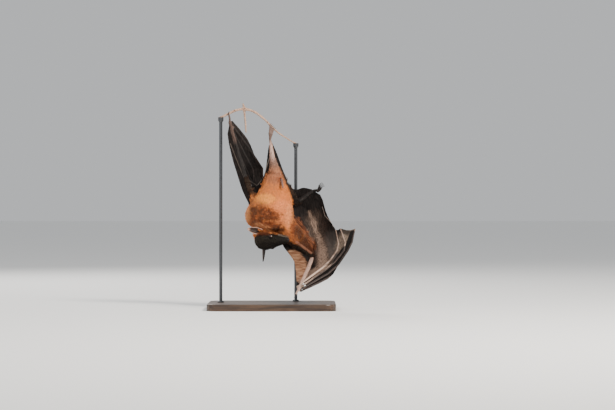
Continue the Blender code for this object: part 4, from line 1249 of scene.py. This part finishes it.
# %% Oiled board
wood_paint, tree, shader, place = material("stand_board", 0.35)
grain = streaks(tree, place, (0, 0, 0), (0.25, 4, 4), 45)
pores = streaks(tree, place, (0, 0, 0), (0.5, 12, 12), 160)
colour = mixed(tree, ramp(tree, grain, 0.3, 0.7), srgb("2a1d15"), srgb("57402f"))
colour = mixed(tree, ramp(tree, pores, 0.58, 0.7, 0.0, 0.7), colour, srgb("160f0b"))
tree.links.new(colour, shader.inputs["Base Color"])
tree.links.new(ramp(tree, pores, 0.3, 0.7, 0.28, 0.5), shader.inputs["Roughness"])
bump(tree, shader, pores, 0.25, 0.0004)
print("board ready")

# %% Blackened steel
steel_paint, tree, shader, place = material("stand_steel", 0.4)
shader.inputs["Metallic"].default_value = 0.9
turning = streaks(tree, place, (0, 0, 0), (1, 1, 40), 60)
tree.links.new(mixed(tree, turning, srgb("3a3b3d"), srgb("5d5f62")), shader.inputs["Base Color"])
tree.links.new(ramp(tree, turning, 0.3, 0.7, 0.3, 0.5), shader.inputs["Roughness"])
STAND_PAINT = {"stand_base": wood_paint, "stand_rod_left": steel_paint, "stand_rod_right": steel_paint}
for name, paint in STAND_PAINT.items():
    for painted in nodes[name].material_slots:
        painted.material = paint
print("stand finished")

# %% [markdown]
# ## Where the hair lies
# Hair points away from the nose: back over the skull, down the neck, and along the trunk to the
# tail, which is up here, because the animal hangs. On the chest it parts from a whorl, and on the
# arms it runs to the elbow. A slow wander makes neighbouring locks lean together.

# %% The lie of the coat
WHORL = np.array([-8, -40, 262]) * MM
TO_THE_TAIL = (0.0, 0.12, 1.0)
EVEN_FLOW = {"neck": (-0.2, 0.35, 0.5), "left_leg": TO_THE_TAIL}


def unit_rows(rows):
    """Each row as a direction of length one."""
    return rows / (np.linalg.norm(rows, axis=1, keepdims=True) + 1e-12)


def wander(points, wave, seed):
    """A smooth slow vector field: a few sine waves in fixed random directions."""
    rng = np.random.default_rng(seed)
    out = np.zeros_like(points)
    for _ in range(6):
        direction = rng.normal(size=3)
        lean = rng.normal(size=3)
        out += np.sin(points @ direction / wave + rng.uniform(0, 6.3))[:, None] * lean
    return out / 6


def flow_on_trunk(points):
    """Towards the tail, but away from the whorl on the front of the chest."""
    front = step(-points[:, Y], -6 * MM, 14 * MM)
    chest = 1 - step(points[:, Z], 262 * MM, 296 * MM)
    away = unit_rows(points - WHORL) * [1.0, 0.3, 1.0] + [0, 0, 0.15]
    share_out = (front * chest)[:, None]
    return np.tile(TO_THE_TAIL, (len(points), 1)) * (1 - 0.8 * share_out) + unit_rows(away) * share_out


def lie(points, normals, region):
    """The way the hair runs at each point of a region, flat along the skin."""
    if region == "trunk":
        flow = flow_on_trunk(points)
    elif region == "head":
        flow = -FORWARD + 0.25 * normals
    elif region in ARM_LINES:
        shoulder, elbow = ARM_LINES[region]
        flow = (elbow - shoulder) / np.linalg.norm(elbow - shoulder)
    else:
        flow = np.array(EVEN_FLOW[region])
    flow = flow + 0.6 * wander(points, 9 * MM, 3) + 0.35 * wander(points, 3.2 * MM, 4)
    flow = flow - np.sum(flow * normals, axis=1, keepdims=True) * normals
    return unit_rows(flow)


print("lie of the coat set for trunk, head,", ", ".join([*ARM_LINES, *EVEN_FLOW]))

# %% [markdown]
# ## One tuft, many times
# Each tuft is a small closed blade of three sides: a root sunk a little into the skin, a middle
# lifted off it, and a tip that lies along the coat's outer surface. A few neighbours lean to a
# common tip, which gives the soft locks of real fur. All the tufts of one region are written into
# one mesh at once. Every tuft also gets its own small patch on a map unrolled around the limb or
# trunk that it grows on, so that its colour can be stored there.

# %% The coat's material
coat_paint, tree, shader, place = material("coat", 0.72)
shader.inputs["Sheen Weight"].default_value = 0.12
shader.inputs["Sheen Roughness"].default_value = 0.45
shader.inputs["Sheen Tint"].default_value = (1.0, 0.78, 0.55, 1)
shader.inputs["Specular IOR Level"].default_value = 0.25
root_shade = ramp(tree, attribute(tree, "along"), 0.0, 0.8, 0.5, 1.06)
hair_shade = ramp(tree, attribute(tree, "tone"), 0.0, 1.0, 0.8, 1.16)
shade = times(tree, root_shade, hair_shade)
grey = node(tree, "CombineXYZ", None, X=shade, Y=shade, Z=shade).outputs[0]
colour = mixed(tree, 1.0, placed(tree, markings_and_light_tree, place), grey, "MULTIPLY")
tree.links.new(colour, shader.inputs["Base Color"])
print("coat material ready")

# %% The skin's triangles, and the solid that each belongs to
skin_co = corners(skin_mesh)
skin_normals = corner_normals(skin_mesh)
skin_mesh.calc_loop_triangles()
skin_triangles = np.empty(len(skin_mesh.loop_triangles) * 3, dtype=np.int64)
skin_mesh.loop_triangles.foreach_get("vertices", skin_triangles)
skin_triangles = skin_triangles.reshape(-1, 3)
corner_a, corner_b, corner_c = (skin_co[skin_triangles[:, k]] for k in range(3))
triangle_area = np.linalg.norm(np.cross(corner_b - corner_a, corner_c - corner_a), axis=1) / 2
triangle_middle = (corner_a + corner_b + corner_c) / 3

BODY_BAND = 1.2 * MM
corner_owner = []
for point in start_co:
    owner, _, distance = body_at(point)
    corner_owner.append(owner if distance < BODY_BAND else "")
triangle_owner = np.array(corner_owner)[skin_triangles[:, 0]]
print(len(skin_triangles), "triangles of skin,", round(triangle_area.sum() * 1e4), "square centimetres")

# %% Unroll each region for the map of its colours
UNROLL = {
    # middle in mm, axis, length of the map in mm
    "trunk": ((0, 0, 290), (0, 0, 1), 250),
    "neck": ((-24, -10, 202), (0.37, 0.2, 0.9), 80),
    "head": ((5, -36, 186), tuple(FORWARD), 130),
    "left_upper_arm": ((-55, 24, 300), (-0.35, 0.3, 0.89), 160),
    "right_upper_arm": ((70, 0, 182), (0.7, 0, -0.71), 160),
    "left_leg": ((0, 0, 415), (0, 0, 1), 150),
}


def unroll(points, region):
    """Around the limb and along it, both from 0 to 1."""
    centre, axis, length_mm = UNROLL[region]
    axis, first, second = frame_around(np.array(axis, dtype=float))
    arm = points - np.array(centre) * MM
    turn = np.arctan2(arm @ second, arm @ first) / (2 * math.pi) + 0.5
    return np.column_stack([0.01 + 0.98 * turn, np.clip(0.5 + arm @ axis / (length_mm * MM), 0.01, 0.99)])


print("maps for", list(UNROLL))

# %% [markdown]
# A blade has seven corners: three at the root, three in the middle and the tip. Three four-sided
# faces and three triangles go round it, and one triangle closes the root, which makes ten
# triangles in all.

# %% The blades of one region
TUFTS_PER_LOCK = 9
LEAN_TO_LEADER = 0.38
BELLY_OF_BLADE = 0.42
FLATNESS = 0.6
BLADE_CORNERS = 7
RING_STYLE = ((0.8, 0.35), (1.0, 0.0))  # share of the width, and depth in the skin in mm


def blades(rng, roots, normals, region, length, width, lift):
    """The seven corners of every blade, as one array."""
    count = len(roots)
    flow = lie(roots, normals, region)
    size = length * MM * rng.uniform(0.75, 1.2, count)
    rise = lift * MM * rng.uniform(0.55, 1.0, count)
    jitter = unit_rows(rng.normal(size=(count, 3)))
    tips = roots + flow * size[:, None] + normals * rise[:, None] + jitter * (0.06 * size)[:, None]
    locks = max(count // TUFTS_PER_LOCK, 1)
    leaders = KDTree(locks)
    for i in range(locks):
        leaders.insert(roots[i], i)
    leaders.balance()
    leader = np.array([leaders.find(p)[1] for p in roots])
    tips += LEAN_TO_LEADER * (tips[leader] - tips) * step(size, 2 * MM, 6 * MM)[:, None]
    middle = roots * 0.5 + tips * 0.5 + normals * (rise * BELLY_OF_BLADE)[:, None]
    sideways = unit_rows(np.cross(flow, normals))
    half = width * MM * rng.uniform(0.7, 1.25, count) / 2
    points = np.empty((count, BLADE_CORNERS, 3))
    for ring, (centre_line, (shrink, sink)) in enumerate(zip((roots, middle), RING_STYLE)):
        for k in range(3):
            angle = 2 * math.pi * k / 3 + math.pi / 2
            offset = sideways * math.cos(angle) + normals * FLATNESS * math.sin(angle)
            points[:, ring * 3 + k] = centre_line + offset * (half * shrink)[:, None] - normals * (sink * MM)
    points[:, -1] = tips
    return points


print("locks of", TUFTS_PER_LOCK, "tufts")

# %% Write blades into a mesh
SIDE_FACES = [(k, (k + 1) % 3, 3 + (k + 1) % 3, 3 + k) for k in range(3)]
END_FACES = [(3 + k, 3 + (k + 1) % 3, 6) for k in range(3)] + [(2, 1, 0)]
FACE_SIZES = [len(face) for face in SIDE_FACES + END_FACES]
FACE_CORNERS = np.array([v for face in SIDE_FACES + END_FACES for v in face])
ALONG_BLADE = np.array([0, 0, 0, 0.55, 0.55, 0.55, 1.0], dtype=np.float32)
MAP_SHAPE = np.array([(0, 0), (0.5, 0), (1, 0), (0, 0.5), (0.5, 0.5), (1, 0.5), (0.5, 1)])
MAP_SIZE = 0.003


def blade_mesh(name, points, map_places, tones):
    """One mesh of many blades, with its map and each corner's place along the hair and tone."""
    count = len(points)
    mesh = bpy.data.meshes.new(name)
    mesh.vertices.add(count * BLADE_CORNERS)
    mesh.vertices.foreach_set("co", points.ravel())
    mesh.loops.add(count * len(FACE_CORNERS))
    loops = (np.arange(count)[:, None] * BLADE_CORNERS + FACE_CORNERS[None, :]).ravel()
    mesh.loops.foreach_set("vertex_index", loops)
    mesh.polygons.add(count * len(FACE_SIZES))
    loop_ends = np.cumsum(np.tile(FACE_SIZES, count))
    mesh.polygons.foreach_set("loop_start", np.concatenate([[0], loop_ends[:-1]]))
    mesh.update(calc_edges=True)
    uv = map_places[:, None, :] + (MAP_SHAPE * MAP_SIZE)[None, FACE_CORNERS, :]
    mesh.uv_layers.new(name="OFBake").data.foreach_set("uv", uv.ravel())
    hair_layers = {"along": np.tile(ALONG_BLADE, count), "tone": np.repeat(tones, BLADE_CORNERS)}
    for layer_name, values in hair_layers.items():
        layer = mesh.attributes.new(layer_name, "FLOAT", "POINT")
        layer.data.foreach_set("value", values)
    mesh.shade_smooth()
    return mesh


print(sum(size - 2 for size in FACE_SIZES), "triangles to a blade")

# %% Grow one piece of the coat


def grow(name, region, where, count, length, width, lift, seed):
    """count tufts of that length, width and lift in mm, on the triangles where a mask is above 0."""
    rng = np.random.default_rng(seed)
    weight = triangle_area * (triangle_owner == region) * where(triangle_middle)
    chosen = rng.choice(len(weight), size=count, p=weight / weight.sum())
    u, v = rng.random(count), rng.random(count)
    over = u + v > 1
    u[over], v[over] = 1 - u[over], 1 - v[over]
    a, b, c = (skin_triangles[chosen, k] for k in range(3))
    roots = skin_co[a] + (skin_co[b] - skin_co[a]) * u[:, None] + (skin_co[c] - skin_co[a]) * v[:, None]
    points = blades(rng, roots, unit_rows(skin_normals[a]), region, length, width, lift)
    tones = rng.random(count).astype(np.float32)
    put(name, blade_mesh(name, points, unroll(roots, region), tones), slot="coat", material=coat_paint)
    print(name, count, "tufts")


print("ready to grow tufts on", ", ".join(UNROLL))

# %% [markdown]
# ## The coat, region by region
# The belly and back carry long soft tufts, the head short fine ones, and the arms something in
# between. The trunk is grown in six pieces, which keeps each one small enough to handle. A mask
# says where a piece grows: each of these helpers gives one, as a function of the points.

# %% Masks that say where tufts grow
SIDE_LINE = 2 * MM


def everywhere(points):
    """The whole region."""
    return np.ones(len(points))


def between(axis, low, high):
    """Between two places along an axis, in mm."""
    return lambda points: ((points[:, axis] >= low * MM) & (points[:, axis] < high * MM)).astype(float)


def front_of(low, high):
    """Between two heights, on the belly side."""
    return lambda points: between(Z, low, high)(points) * (points[:, Y] < SIDE_LINE)


def back_of(low, high):
    """Between two heights, on the back."""
    return lambda points: between(Z, low, high)(points) * (points[:, Y] >= SIDE_LINE)


def both(first, second):
    """Where two masks overlap."""
    return lambda points: first(points) * second(points)


def thinning_out(low, high):
    """Full at the lower height and gone at the upper one."""
    return lambda points: between(Z, low, high)(points) * (1 - step(points[:, Z], (low + 8) * MM, high * MM))


def fade_to_nose(low, high):
    """Almost 0 at one distance across the front view and 1 at the other."""
    return lambda points: 0.02 + 0.98 * np.clip((points[:, X] / MM - low) / (high - low), 0, 1)


def off_the_lips(low, high):
    """Part of the head between two widths of the front view, leaving the parting of the lips bare."""
    return lambda points: between(X, low, high)(points) * (mouth_mask(points, 1.0) < 0.35)


print("masks ready")

# %% Grow the coat
# name, region, mask, tufts, then length, width and lift in mm, and the seed
grow("coat_chest_left", "trunk", both(front_of(160, 262), between(X, -90, -12)), 14500, 13.5, 0.72, 6.2, 11)
grow("coat_chest_right", "trunk", both(front_of(160, 262), between(X, -12, 90)), 14500, 13.5, 0.72, 6.2, 31)
grow("coat_belly_low", "trunk", front_of(262, 312), 17000, 12.5, 0.72, 6.0, 12)
grow("coat_belly_high", "trunk", front_of(312, 380), 13000, 9.5, 0.62, 3.8, 32)
grow("coat_nape", "trunk", back_of(160, 262), 12500, 14, 0.95, 6.4, 13)
grow("coat_back", "trunk", back_of(262, 380), 13000, 12.5, 0.95, 5.8, 14)
grow("coat_neck", "neck", everywhere, 8000, 11, 0.72, 5.6, 15)
grow("coat_right_arm", "right_upper_arm", everywhere, 13500, 9.5, 0.62, 4.6, 16)
grow("coat_left_arm", "left_upper_arm", everywhere, 4500, 6, 0.55, 2.6, 17)
grow("coat_head", "head", both(off_the_lips(-60, 18), fade_to_nose(18, 2)), 17500, 4.6, 0.38, 2.1, 18)
grow("coat_muzzle", "head", both(off_the_lips(-2, 49), fade_to_nose(-2, 14)), 14500, 2.2, 0.26, 0.85, 19)
grow("coat_left_leg", "left_leg", thinning_out(366, 412), 4600, 3.4, 0.34, 1.2, 20)
